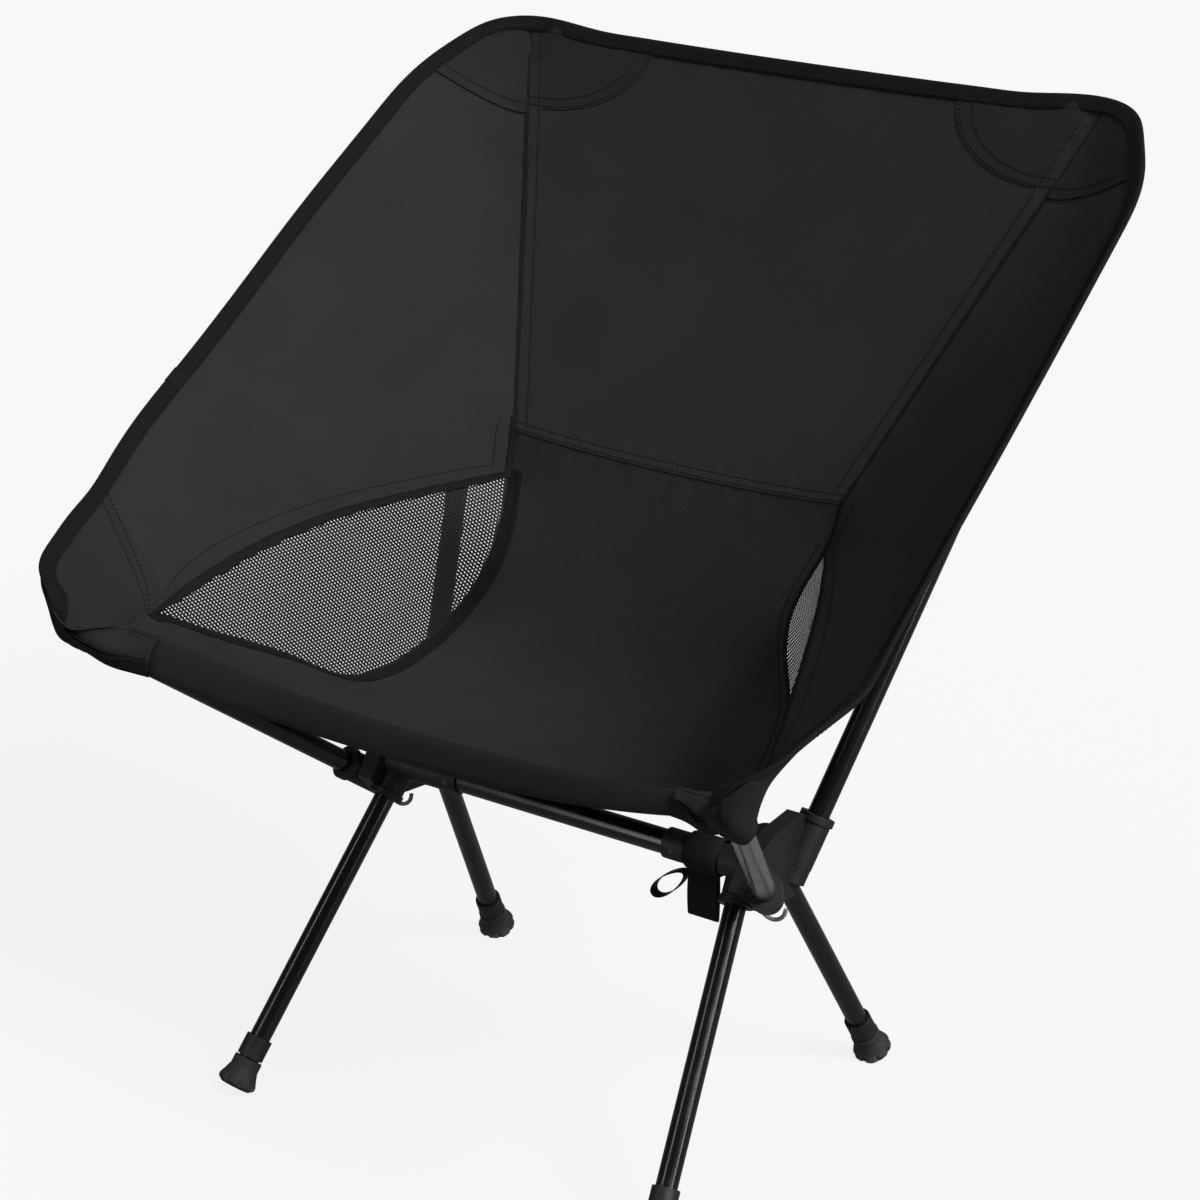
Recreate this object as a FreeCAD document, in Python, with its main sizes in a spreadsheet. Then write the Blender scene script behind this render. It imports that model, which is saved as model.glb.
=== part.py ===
import FreeCAD, Part
import math
import os

import Sketcher

# Ultralight backpacking chair. Millimetres, +Z up, the sitter faces -Y.
# The origin is on the ground under the middle of the whole chair.
# Everything is laid out for the right side (+X); the left side is its mirror image.

V = FreeCAD.Vector
doc = FreeCAD.newDocument("backpacking_chair")

# ---------------------------------------------------------------- driving dimensions
DIMENSIONS = [
    ("middle_offset", 44.8545, "how far the chair's middle lies behind the middle of its feet"),
    ("leg_dia", 14.5, "outside diameter of the four legs"),
    ("pole_dia", 15.0, "outside diameter of the upper poles"),
    ("tube_wall", 0.8, "wall of every leg and pole tube"),
    ("crossbar_dia", 17.0, "outside diameter of the crossbar"),
    ("crossbar_wall", 1.0, "wall of the crossbar"),
    ("crossbar_height", 203.0, "height of the crossbar axis"),
    ("crossbar_length", 256.0, "crossbar from end to end, inside both hubs"),
    ("front_foot_x", 171.0, "front foot, outwards"),
    ("front_foot_y", -148.0, "front foot, forwards"),
    ("rear_foot_x", 163.0, "rear foot, outwards"),
    ("rear_foot_y", 148.0, "rear foot, backwards"),
    ("leg_socket_depth", 30.0, "how far a leg enters its socket"),
    ("pole_socket_depth", 30.0, "how far an upper pole enters its socket"),
    ("socket_floor", 6.0, "solid plastic behind a socket"),
    ("socket_dia", 21.6, "outside diameter of a leg socket"),
    ("collar_dia", 24.0, "outside diameter of a socket's mouth collar"),
    ("collar_length", 5.0, "length of a mouth collar"),
    ("barrel_dia", 21.0, "outside diameter of the hub's crossbar barrel"),
    ("barrel_inner_x", 84.0, "inboard end of the barrel"),
    ("barrel_outer_x", 150.0, "outboard end of the barrel"),
    ("web_inner_x", 145.0, "inboard face of the hub's web"),
    ("web_thickness", 12.0, "thickness of the hub's web"),
    ("sleeve_length", 47.0, "length of the back pole's long sleeve"),
    ("slide_clearance", 0.08, "radial gap of a leg in its socket"),
    ("seat_gap", 0.1, "gap between the end of a tube and what it seats on"),
    ("fixed_clearance", 0.02, "radial gap between pieces that stay together"),
    ("cord_dia", 3.0, "diameter of the shock cord"),
    ("cord_anchor", 4.0, "cord length held in the hub beyond the leg"),
    ("plug_length", 16.0, "length of a leg's end plug"),
    ("plug_bore", 5.0, "hole for the cord in a leg's end plug"),
    ("boot_dia", 27.0, "widest diameter of a rubber boot"),
    ("boot_neck_dia", 20.0, "neck diameter of a rubber boot"),
    ("boot_length", 21.0, "length of a rubber boot"),
    ("boot_floor", 4.0, "rubber under the end of the tube"),
    ("boot_edge", 2.5, "height of a boot's widest ring above its end"),
    ("sole_cut", 1.2, "depth of the flat that the ground leaves on a boot"),
    ("boot_grooves", 8, "grooves around a boot"),
    ("groove_dia", 5.0, "diameter of a boot groove"),
    ("groove_length", 9.0, "length of a boot groove"),
    ("foot_sleeve_dia", 18.6, "outside diameter of the sleeve above the boot"),
    ("foot_sleeve_length", 15.0, "length of that sleeve"),
    ("foot_sleeve_gap", 1.2, "groove between boot and sleeve"),
    ("tip_dia", 15.6, "diameter of a pole's end cap"),
    ("tip_length", 12.0, "length of a pole's end cap beyond the tube"),
    ("ferrule_length", 80.0, "insert that joins the two parts of a back pole"),
    ("back_pole_split", 235.0, "joint of the back pole, from its sleeve's mouth"),
    ("pocket_dia", 20.5, "outside diameter of a corner pocket"),
    ("pocket_bore_dia", 17.0, "room for the pole inside a pocket"),
    ("front_pocket_length", 80.0, "length of a front pocket"),
    ("back_pocket_length", 70.0, "length of a back pocket"),
    ("cloth", 1.2, "thickness of the sling cloth"),
    ("tape", 2.4, "thickness of the edge binding"),
    ("tape_width", 12.0, "width of the edge binding"),
    ("seam_gap", 0.8, "half of the gap between neighbouring cloth solids"),
    ("vent_fold_gap", 3.0, "gap of a vent at the fold where it meets the seat"),
    ("strap_inner_x", 102.0, "inboard edge of the storage strap's wrap"),
    ("strap_width", 25.0, "width of the storage strap's wrap"),
    ("strap_thickness", 2.4, "thickness of the wrap"),
    ("tag_width", 24.0, "width of the hanging tag"),
    ("tag_drop", 34.0, "how far the tag hangs below the wrap"),
    ("tag_thickness", 2.2, "thickness of the tag"),
    ("ribbon_width", 9.0, "width of the ribbon loop"),
    ("ribbon_thickness", 1.2, "thickness of the ribbon"),
    ("ribbon_reach", 34.0, "length of the ribbon loop"),
    ("ribbon_height", 14.3, "height of the ribbon loop across its length"),
    ("ribbon_droop", 42.0, "angle at which the ribbon loop hangs below level"),
    ("loop_radius", 10.0, "radius of the cord loop under a hub"),
    ("pin_dia", 4.0, "diameter of the crossbar's retaining pins"),
    ("pin_inset", 8.0, "how far a pin sits from the inboard end of its barrel"),
    ("outside_reach", 45.0, "how far a bore is cleared outside its mouth"),
]

sheet = doc.addObject("Spreadsheet::Sheet", "Dimensions")
for row, (alias, value, note) in enumerate(DIMENSIONS, start=1):
    sheet.set("A%d" % row, note)
    sheet.set("B%d" % row, str(value))
    sheet.setAlias("B%d" % row, alias)
doc.recompute()


def dim(alias):
    """The value of a named cell."""
    return float(sheet.get(alias))


def ref(alias):
    """The expression that refers to a named cell."""
    return "Dimensions." + alias


# ---------------------------------------------------------------- key points, right side
def at(x, y, z):
    """A point whose y is measured from the middle of the four feet."""
    return V(x, y - dim("middle_offset"), z)


CROSSBAR_AXIS = at(0, 0, dim("crossbar_height"))
FRONT_LEG_MOUTH = at(143, -11, 178.5)
REAR_LEG_MOUTH = at(139, 50, 178)
FRONT_FOOT = at(dim("front_foot_x"), dim("front_foot_y"), 0)
REAR_FOOT = at(dim("rear_foot_x"), dim("rear_foot_y"), 0)
FRONT_POLE_MOUTH = at(170, -21, 202)
FRONT_POLE_TIP = at(256, -200, 347)
BACK_POLE_MOUTH = at(160, 63, 219)
BACK_POLE_TIP = at(244, 291, 646)

SIDES = (("right", 1), ("left", -1))


def mirrored(point, side):
    """A right-side point carried to the side given by its sign."""
    return V(point.x * side, point.y, point.z)


def unit(start, end):
    """The direction from one point to another."""
    step = end.sub(start)
    return step.multiply(1.0 / step.Length)


def along(start, direction, distance):
    """The point at a distance from start."""
    return start.add(V(direction).multiply(distance))


def placed(origin, direction):
    """A placement that carries local +Z to the direction and the local origin to the point."""
    return FreeCAD.Placement(origin, FreeCAD.Rotation(V(0, 0, 1), direction))


# ---------------------------------------------------------------- builders
nodes = {}


def keep(feature, name):
    """Label a finished sub-part and list it for export."""
    feature.Label = name
    nodes[name] = feature
    return feature


def origin_plane(body, role):
    return [item for item in body.Origin.OriginFeatures if item.Role == role][0]


def flat_sketch(body, role):
    """A sketch on one of the body's own origin planes."""
    sketch = body.newObject("Sketcher::SketchObject", body.Name + "_sketch")
    sketch.AttachmentSupport = [(origin_plane(body, role), "")]
    sketch.MapMode = "FlatFace"
    return sketch


def bind(sketch, constraint, expression):
    """Add a constraint and tie its value to the sheet."""
    index = sketch.addConstraint(constraint)
    sketch.setExpression("Constraints[%d]" % index, expression)


def tube(name, outer, bore, length, start, direction, kept=True):
    """A round tube (or a rod, when bore is empty) whose local +Z runs along the direction."""
    body = doc.addObject("PartDesign::Body", name)
    sketch = flat_sketch(body, "XY_Plane")
    for expression in [item for item in (outer, bore) if item]:
        circle = sketch.addGeometry(Part.Circle(V(0, 0, 0), V(0, 0, 1), 5), False)
        sketch.addConstraint(Sketcher.Constraint("Coincident", circle, 3, -1, 1))
        bind(sketch, Sketcher.Constraint("Diameter", circle, 10), expression)
    pad = body.newObject("PartDesign::Pad", name + "_pad")
    pad.Profile = sketch
    pad.setExpression("Length", length)
    body.Placement = placed(start, direction)
    return keep(body, name) if kept else body


def turned(name, profile, start, direction, kept=True):
    """A revolved piece. The profile lists (radius, height) expressions in order."""
    body = doc.addObject("PartDesign::Body", name)
    sketch = flat_sketch(body, "XZ_Plane")
    count = len(profile)
    guess = [(5.0 + 0.1 * i, 5.0 + 0.1 * i * i) for i in range(count)]
    for i in range(count):
        first = V(guess[i][0], guess[i][1], 0)
        last = V(guess[(i + 1) % count][0], guess[(i + 1) % count][1], 0)
        sketch.addGeometry(Part.LineSegment(first, last), False)
    for i in range(count):
        sketch.addConstraint(Sketcher.Constraint("Coincident", i, 2, (i + 1) % count, 1))
    for i, (radius, height) in enumerate(profile):
        bind(sketch, Sketcher.Constraint("DistanceX", -1, 1, i, 1, guess[i][0]), radius)
        bind(sketch, Sketcher.Constraint("DistanceY", -1, 1, i, 1, guess[i][1]), height)
    turn = body.newObject("PartDesign::Revolution", name + "_turn")
    turn.Profile = sketch
    turn.ReferenceAxis = (sketch, ["V_Axis"])
    turn.Angle = 360
    body.Placement = placed(start, direction)
    return keep(body, name) if kept else body


def cylinder(name, diameter, length, start, direction):
    """A helper cylinder with sizes bound to the sheet."""
    solid = doc.addObject("Part::Cylinder", name)
    solid.setExpression("Radius", "(%s) / 2" % diameter)
    solid.setExpression("Height", length)
    solid.Placement = placed(start, direction)
    return solid


def fused(name, shapes):
    join = doc.addObject("Part::MultiFuse", name)
    join.Shapes = shapes
    return join


def cut(name, base, tool):
    result = doc.addObject("Part::Cut", name)
    result.Base = base
    result.Tool = tool
    return result


def freeform(name, shape):
    """A sub-part whose form no parametric feature gives."""
    feature = doc.addObject("Part::Feature", name)
    feature.Shape = shape
    return keep(feature, name)


# ---------------------------------------------------------------- legs and feet
def boot_end(mouth, foot):
    """The centre of a boot's end, raised so that the boot's lower rim is cut flat by the ground."""
    lean = math.acos(unit(foot, mouth).z)
    rim = dim("boot_dia") / 2 * math.sin(lean)
    lift = rim - dim("boot_edge") * math.cos(lean) - dim("sole_cut")
    return foot.add(V(0, 0, lift))


def derive(alias, value, note):
    """Store a length worked out from the key points, so that features can refer to it."""
    line = derive.next_row
    derive.next_row += 1
    sheet.set("A%d" % line, note)
    sheet.set("B%d" % line, "%.4f" % value)
    sheet.setAlias("B%d" % line, alias)
    sheet.recompute()


derive.next_row = len(DIMENSIONS) + 2

LEGS = (("front", FRONT_LEG_MOUTH, FRONT_FOOT), ("rear", REAR_LEG_MOUTH, REAR_FOOT))
for end, mouth, foot in LEGS:
    span = mouth.sub(boot_end(mouth, foot)).Length
    inside = dim("leg_socket_depth") - dim("seat_gap")
    leg_length = span + inside - dim("boot_floor") - dim("seat_gap")
    derive(end + "_leg_length", leg_length, "tube of a %s leg" % end)
    cord = span + dim("leg_socket_depth") + dim("cord_anchor") - dim("boot_floor") - dim("boot_length")
    derive(end + "_cord_length", cord, "shock cord of a %s leg" % end)


def boot(name, start, direction):
    """A rubber boot: a bell with shallow grooves around its rim, flat where it meets the ground."""
    wide = ref("boot_dia") + " / 2"
    neck = ref("boot_neck_dia") + " / 2"
    grip = "%s / 2 + %s" % (ref("leg_dia"), ref("fixed_clearance"))
    tall = ref("boot_length")
    edge = ref("boot_edge")
    profile = [
        ("0", "0"),
        (wide + " * 0.76", "0"),
        (wide, edge),
        (wide, edge + " * 2"),
        (wide + " * 0.88", tall + " * 0.42"),
        (neck, tall + " * 0.68"),
        (neck, tall),
        (grip, tall),
        (grip, ref("boot_floor")),
        ("0", ref("boot_floor")),
    ]
    body = turned(name + "_bell", profile, start, direction, kept=False)
    doc.recompute()
    sketch = body.newObject("Sketcher::SketchObject", name + "_groove_sketch")
    sketch.AttachmentSupport = [(origin_plane(body, "XY_Plane"), "")]
    sketch.MapMode = "FlatFace"
    circle = sketch.addGeometry(Part.Circle(V(14, 0, 0), V(0, 0, 1), 3), False)
    sketch.addConstraint(Sketcher.Constraint("PointOnObject", circle, 3, -1))
    bind(sketch, Sketcher.Constraint("Diameter", circle, 5), ref("groove_dia"))
    offset = "%s / 2 + %s / 4" % (ref("boot_dia"), ref("groove_dia"))
    bind(sketch, Sketcher.Constraint("DistanceX", -1, 1, circle, 3, 14), offset)
    groove = body.newObject("PartDesign::Pocket", name + "_groove")
    groove.Profile = sketch
    groove.Reversed = True
    groove.setExpression("Length", ref("groove_length"))
    doc.recompute()
    ring = body.newObject("PartDesign::PolarPattern", name + "_grooves")
    ring.Originals = [groove]
    ring.Axis = (sketch, ["N_Axis"])
    ring.Angle = 360
    ring.Occurrences = int(dim("boot_grooves"))
    body.Tip = ring
    ground = doc.addObject("Part::Box", name + "_ground")
    size = 3 * dim("boot_dia")
    ground.Length = size
    ground.Width = size
    ground.Height = size
    corner = V(start.x - size / 2, start.y - size / 2, -size)
    ground.Placement = FreeCAD.Placement(corner, FreeCAD.Rotation())
    return keep(cut(name, body, ground), name)


def leg(end, mouth, foot, side_name, side):
    """One leg: tube, end plug, shock cord, rubber boot and the sleeve above it."""
    tag = "%s_%s" % (end, side_name)
    mouth = mirrored(mouth, side)
    bottom = mirrored(boot_end(V(abs(mouth.x), mouth.y, mouth.z), foot), side)
    up = unit(bottom, mouth)
    inner = "%s - 2 * %s" % (ref("leg_dia"), ref("tube_wall"))
    start = along(bottom, up, dim("boot_floor") + dim("seat_gap"))
    length = dim(end + "_leg_length")
    tube("leg_" + tag, ref("leg_dia"), inner, ref(end + "_leg_length"), start, up)
    plug_outer = "%s - 2 * %s" % (inner, ref("fixed_clearance"))
    plug_start = along(start, up, length - dim("plug_length"))
    tube("leg_plug_" + tag, plug_outer, ref("plug_bore"), ref("plug_length"), plug_start, up)
    cord_start = along(bottom, up, dim("boot_floor") + dim("boot_length"))
    tube("leg_cord_" + tag, ref("cord_dia"), "", ref(end + "_cord_length"), cord_start, up)
    boot("boot_" + tag, bottom, up)
    sleeve_start = along(bottom, up, dim("boot_length") + dim("foot_sleeve_gap"))
    sleeve_bore = "%s + 2 * %s" % (ref("leg_dia"), ref("fixed_clearance"))
    tube("foot_sleeve_" + tag, ref("foot_sleeve_dia"), sleeve_bore, ref("foot_sleeve_length"),
         sleeve_start, up)


for side_name, side in SIDES:
    for end, mouth, foot in LEGS:
        leg(end, mouth, foot, side_name, side)


# ---------------------------------------------------------------- upper poles
FRONT_POLE_UP = unit(FRONT_POLE_MOUTH, FRONT_POLE_TIP)
BACK_POLE_UP = unit(BACK_POLE_MOUTH, BACK_POLE_TIP)
POLE_BORE = "%s - 2 * %s" % (ref("pole_dia"), ref("tube_wall"))
FERRULE_DIA = "%s - 2 * %s" % (POLE_BORE, ref("fixed_clearance"))

front_reach = FRONT_POLE_TIP.sub(FRONT_POLE_MOUTH).Length - dim("tip_length")
back_reach = BACK_POLE_TIP.sub(BACK_POLE_MOUTH).Length - dim("tip_length")
inside = dim("pole_socket_depth") - dim("seat_gap")
derive("front_pole_length", front_reach + inside, "tube of a front pole")
derive("back_lower_length", dim("back_pole_split") + inside, "lower tube of a back pole")
back_upper_length = back_reach - dim("back_pole_split") - dim("seat_gap")
derive("back_upper_length", back_upper_length, "upper tube of a back pole")


def tip_cap(name, tip, direction):
    """A rounded plastic cap: its stem is inside the pole's end and its head sits in the pocket."""
    radius = ref("tip_dia") + " / 2"
    stem = "(%s) / 2" % FERRULE_DIA
    long = ref("tip_length")
    shoulder = "%s + %s" % (long, ref("seat_gap"))
    profile = [
        ("0", "0"),
        (stem, "0"),
        (stem, shoulder),
        (radius, shoulder),
        (radius, long + " * 1.6"),
        (radius + " * 0.84", long + " * 1.85"),
        (radius + " * 0.45", long + " * 2"),
        ("0", long + " * 2"),
    ]
    turned(name, profile, along(tip, direction, -2 * dim("tip_length")), direction)


for side_name, side in SIDES:
    up = V(FRONT_POLE_UP.x * side, FRONT_POLE_UP.y, FRONT_POLE_UP.z)
    start = along(mirrored(FRONT_POLE_MOUTH, side), up, -inside)
    tube("front_pole_" + side_name, ref("pole_dia"), POLE_BORE, ref("front_pole_length"), start, up)
    tip_cap("front_tip_" + side_name, mirrored(FRONT_POLE_TIP, side), up)

    up = V(BACK_POLE_UP.x * side, BACK_POLE_UP.y, BACK_POLE_UP.z)
    mouth = mirrored(BACK_POLE_MOUTH, side)
    start = along(mouth, up, -inside)
    tube("back_pole_lower_" + side_name, ref("pole_dia"), POLE_BORE, ref("back_lower_length"), start, up)
    start = along(mouth, up, dim("back_pole_split") + dim("seat_gap"))
    tube("back_pole_upper_" + side_name, ref("pole_dia"), POLE_BORE, ref("back_upper_length"), start, up)
    start = along(mouth, up, dim("back_pole_split") - dim("ferrule_length") / 2)
    tube("back_ferrule_" + side_name, FERRULE_DIA, ref("plug_bore"), ref("ferrule_length"), start, up)
    tip_cap("back_tip_" + side_name, mirrored(BACK_POLE_TIP, side), up)


# ---------------------------------------------------------------- crossbar and hubs
bar_start = at(-dim("crossbar_length") / 2, 0, dim("crossbar_height"))
bar_bore = "%s - 2 * %s" % (ref("crossbar_dia"), ref("crossbar_wall"))
bar_tube = tube(
    "crossbar_tube", ref("crossbar_dia"), bar_bore, ref("crossbar_length"), bar_start, V(1, 0, 0), kept=False
)

LEG_BORE = "%s + 2 * %s" % (ref("leg_dia"), ref("slide_clearance"))
POLE_SOCKET_BORE = "%s + 2 * %s" % (ref("pole_dia"), ref("fixed_clearance"))


def socket(name, mouth, outwards, depth, outer):
    """The solid of a socket and of the collar at its mouth."""
    length = "%s + %s" % (ref(depth), ref("socket_floor"))
    back = along(mouth, outwards, -dim(depth) - dim("socket_floor"))
    wall = cylinder(name + "_wall", outer, length, back, outwards)
    lip = along(mouth, outwards, -dim("collar_length"))
    collar = cylinder(name + "_collar", ref("collar_dia"), ref("collar_length"), lip, outwards)
    return [wall, collar]


def bore(name, mouth, outwards, depth, diameter):
    """The hole of a socket, from its floor to well outside its mouth."""
    length = "%s + %s" % (ref(depth), ref("outside_reach"))
    return cylinder(name + "_bore", diameter, length, along(mouth, outwards, -dim(depth)), outwards)


def cord_hole(name, mouth, outwards):
    """The small hole behind a leg socket that holds the end of the shock cord."""
    length = "%s + %s" % (ref("cord_anchor"), ref("socket_floor"))
    deep = dim("leg_socket_depth") + dim("cord_anchor")
    diameter = "%s + 2 * %s" % (ref("cord_dia"), ref("fixed_clearance"))
    return cylinder(name + "_cord_hole", diameter, length, along(mouth, outwards, -deep), outwards)


# The web, seen along +X: (y, z) corners of the plate that ties the sockets together.
WEB_OUTLINE = [
    (-24, 196),
    (-10, 214),
    (14, 223),
    (48, 225),
    (62, 212),
    (56, 178),
    (40, 168),
    (12, 172),
    (-6, 176),
]


def hub_web():
    """The plate between the sockets, padded outwards from its sketch."""
    body = doc.addObject("PartDesign::Body", "hub_web")
    sketch = flat_sketch(body, "YZ_Plane")
    corners = [V(y, z, 0) for y, z in WEB_OUTLINE]
    count = len(corners)
    for i in range(count):
        sketch.addGeometry(Part.LineSegment(corners[i], corners[(i + 1) % count]), False)
    for i in range(count):
        sketch.addConstraint(Sketcher.Constraint("Coincident", i, 2, (i + 1) % count, 1))
        sketch.addConstraint(Sketcher.Constraint("Block", i))
    pad = body.newObject("PartDesign::Pad", "hub_web_pad")
    pad.Profile = sketch
    pad.setExpression("Length", ref("web_thickness"))
    body.Placement = FreeCAD.Placement(at(dim("web_inner_x"), 0, 0), FreeCAD.Rotation())
    return body


front_leg_out = unit(FRONT_LEG_MOUTH, boot_end(FRONT_LEG_MOUTH, FRONT_FOOT))
rear_leg_out = unit(REAR_LEG_MOUTH, boot_end(REAR_LEG_MOUTH, REAR_FOOT))
barrel_length = "%s - %s" % (ref("barrel_outer_x"), ref("barrel_inner_x"))
barrel_start = at(dim("barrel_inner_x"), 0, dim("crossbar_height"))
solids = [cylinder("barrel", ref("barrel_dia"), barrel_length, barrel_start, V(1, 0, 0)), hub_web()]
solids += socket("front_leg", FRONT_LEG_MOUTH, front_leg_out, "leg_socket_depth", ref("socket_dia"))
solids += socket("rear_leg", REAR_LEG_MOUTH, rear_leg_out, "leg_socket_depth", ref("socket_dia"))
solids += socket("front_pole", FRONT_POLE_MOUTH, FRONT_POLE_UP, "pole_socket_depth", ref("socket_dia"))
solids += socket("back_pole", BACK_POLE_MOUTH, BACK_POLE_UP, "pole_socket_depth", ref("socket_dia"))
sleeve_end = along(BACK_POLE_MOUTH, BACK_POLE_UP, -dim("sleeve_length"))
solids.append(cylinder("sleeve", ref("barrel_dia"), ref("sleeve_length"), sleeve_end, BACK_POLE_UP))

bar_hole = "%s + 2 * %s" % (ref("crossbar_dia"), ref("fixed_clearance"))
bar_hole_length = "%s / 2 + %s" % (ref("crossbar_length"), ref("fixed_clearance"))
pin_start = at(dim("barrel_inner_x") + dim("pin_inset"), -dim("barrel_dia"), dim("crossbar_height"))
pin_hole = "%s + 2 * %s" % (ref("pin_dia"), ref("fixed_clearance"))
tube_holes = []
for side_name, side in SIDES:
    start = V(pin_start.x * side, pin_start.y, pin_start.z)
    hole_length = ref("barrel_dia") + " * 2"
    tube_holes.append(cylinder("tube_hole_" + side_name, pin_hole, hole_length, start, V(0, 1, 0)))
keep(cut("crossbar", bar_tube, fused("tube_holes", tube_holes)), "crossbar")
holes = [
    cylinder("bar_hole", bar_hole, bar_hole_length, CROSSBAR_AXIS, V(1, 0, 0)),
    cylinder("pin_hole", pin_hole, ref("barrel_dia") + " * 2", pin_start, V(0, 1, 0)),
    bore("front_leg", FRONT_LEG_MOUTH, front_leg_out, "leg_socket_depth", LEG_BORE),
    bore("rear_leg", REAR_LEG_MOUTH, rear_leg_out, "leg_socket_depth", LEG_BORE),
    bore("front_pole", FRONT_POLE_MOUTH, FRONT_POLE_UP, "pole_socket_depth", POLE_SOCKET_BORE),
    bore("back_pole", BACK_POLE_MOUTH, BACK_POLE_UP, "pole_socket_depth", POLE_SOCKET_BORE),
    cord_hole("front_leg", FRONT_LEG_MOUTH, front_leg_out),
    cord_hole("rear_leg", REAR_LEG_MOUTH, rear_leg_out),
]
right_hub = keep(cut("hub_right", fused("hub_solids", solids), fused("hub_holes", holes)), "hub_right")
left_hub = doc.addObject("Part::Mirroring", "hub_left")
left_hub.Source = right_hub
left_hub.Base = V(0, 0, 0)
left_hub.Normal = V(1, 0, 0)
keep(left_hub, "hub_left")


# ---------------------------------------------------------------- crossbar pins and cord loops
pins = []
for side_name, side in SIDES:
    start = at(pin_start.x * side, -dim("barrel_dia") / 2, dim("crossbar_height"))
    pins.append(cylinder("pin_" + side_name, ref("pin_dia"), ref("barrel_dia"), start, V(0, 1, 0)))
keep(fused("crossbar_pins", pins), "crossbar_pins")

# A short loop of shock cord hangs under each web, where the cords are threaded and tied off.
LOOP_CENTRE = at(153, 19, 169)


def cord_loop(name, side):
    """A half ring of cord with both ends sunk in the web."""
    ring = doc.addObject("Part::Torus", name + "_ring")
    ring.setExpression("Radius1", ref("loop_radius"))
    ring.setExpression("Radius2", ref("cord_dia") + " / 2")
    ring.Angle3 = 180
    ring.Placement = FreeCAD.Placement(mirrored(LOOP_CENTRE, side), FreeCAD.Rotation(V(1, 0, 0), -90))
    return keep(ring, name)


for side_name, side in SIDES:
    cord_loop("cord_loop_" + side_name, side)


# ---------------------------------------------------------------- storage strap on the right barrel
strap_start = at(dim("strap_inner_x"), 0, dim("crossbar_height"))
wrap_bore = "%s + 2 * %s" % (ref("barrel_dia"), ref("slide_clearance"))
wrap_outer = "%s + 2 * %s" % (wrap_bore, ref("strap_thickness"))
tube("strap_wrap", wrap_outer, wrap_bore, ref("strap_width"), strap_start, V(1, 0, 0))

wrap_radius = dim("barrel_dia") / 2 + dim("slide_clearance") + dim("strap_thickness")
tag_top = dim("crossbar_height") - wrap_radius - dim("seat_gap")
tag = doc.addObject("Part::Box", "strap_tag")
tag.setExpression("Length", ref("tag_width"))
tag.setExpression("Width", ref("tag_thickness"))
tag.setExpression("Height", ref("tag_drop"))
tag_corner = at(strap_start.x - 2, -dim("tag_thickness") / 2, tag_top - dim("tag_drop"))
tag.Placement = FreeCAD.Placement(tag_corner, FreeCAD.Rotation())
keep(tag, "strap_tag")


def oval(name, major, minor):
    """An extruded ellipse, as wide as the ribbon, in the plane of the crossbar."""
    edge = doc.addObject("Part::Ellipse", name + "_edge")
    edge.setExpression("MajorRadius", major)
    edge.setExpression("MinorRadius", minor)
    solid = doc.addObject("Part::Extrusion", name)
    solid.Base = edge
    solid.DirMode = "Custom"
    solid.Dir = V(0, 0, 1)
    solid.setExpression("LengthFwd", ref("ribbon_width"))
    solid.Solid = True
    return solid


half_reach = ref("ribbon_reach") + " / 2"
half_height = ref("ribbon_height") + " / 2"
ribbon = cut(
    "strap_ribbon",
    oval("ribbon_outer", half_reach, half_height),
    oval(
        "ribbon_inner",
        "%s - %s" % (half_reach, ref("ribbon_thickness")),
        "%s - %s" % (half_height, ref("ribbon_thickness")),
    ),
)
tilt = FreeCAD.Rotation(V(0, 1, 0), -dim("ribbon_droop")).multiply(FreeCAD.Rotation(V(1, 0, 0), 90))
droop = math.radians(dim("ribbon_droop"))
ribbon_end = at(tag_corner.x - 1.5, dim("ribbon_width") / 2, tag_top - 4)
half = dim("ribbon_reach") / 2
ribbon_centre = ribbon_end.sub(V(half * math.cos(droop), 0, half * math.sin(droop)))
ribbon.Placement = FreeCAD.Placement(ribbon_centre, tilt)
keep(ribbon, "strap_ribbon")


# ---------------------------------------------------------------- sling: key curves, right side
TOP_CENTRE = at(0, 290, 656)
BACK_SEAM_TOP = at(229, 289, 659)
BACK_SEAM_FOOT = at(131, 130, 410)
BACK_CENTRE_MID = at(0, 222, 530)
SEAT_SEAM_CENTRE = at(0, 132, 404)
VENT_BACK = at(127.6, 118.5, 381)
VENT_FRONT = at(235, -138, 335)
SEAT_FRONT = at(224, -172, 341)

# The back seam runs straight from its top to its foot, where the seat's side begins.
SEAT_SIDE = [
    BACK_SEAM_FOOT,
    VENT_BACK,
    at(125, 108, 355),
    at(124, 88, 324),
    at(132, 58, 294),
    at(146, 13, 271),
    at(162, -23, 268),
    at(182, -51, 285),
    at(219, -109, 319),
    VENT_FRONT,
    SEAT_FRONT,
]
SEAT_CENTRE = [
    SEAT_SEAM_CENTRE,
    at(0, 104, 345),
    at(0, 78, 300),
    at(0, 42, 264),
    at(0, -10, 248),
    at(0, -60, 255),
    at(0, -110, 279),
    at(0, -158, 318),
]
VENT_TOP = [VENT_BACK, at(160, 57, 378), at(190, -9, 373), at(215, -75, 358), VENT_FRONT]
VENT_BOTTOM = SEAT_SIDE[1:-1]
WING_EDGE_BACK = [
    at(231, 288, 662),
    at(262, 257, 650),
    at(284, 226, 630),
    at(290, 180, 602),
    at(293, 97, 551),
    at(294, 32, 509),
]
WING_EDGE_FRONT = [at(294, 32, 509), at(295, -31, 470), at(296, -80, 440), at(295, -122, 408)]
CORNER_EDGE = [at(295, -122, 408), at(284, -172, 391), at(266, -206, 373), at(240, -210, 349)]
HEM_TOP = [at(-224, -173, 341), at(0, -159, 317), at(224, -173, 341)]
HEM_BOTTOM = [at(-226, -180, 322), at(0, -163, 297), at(226, -180, 322)]


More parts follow.
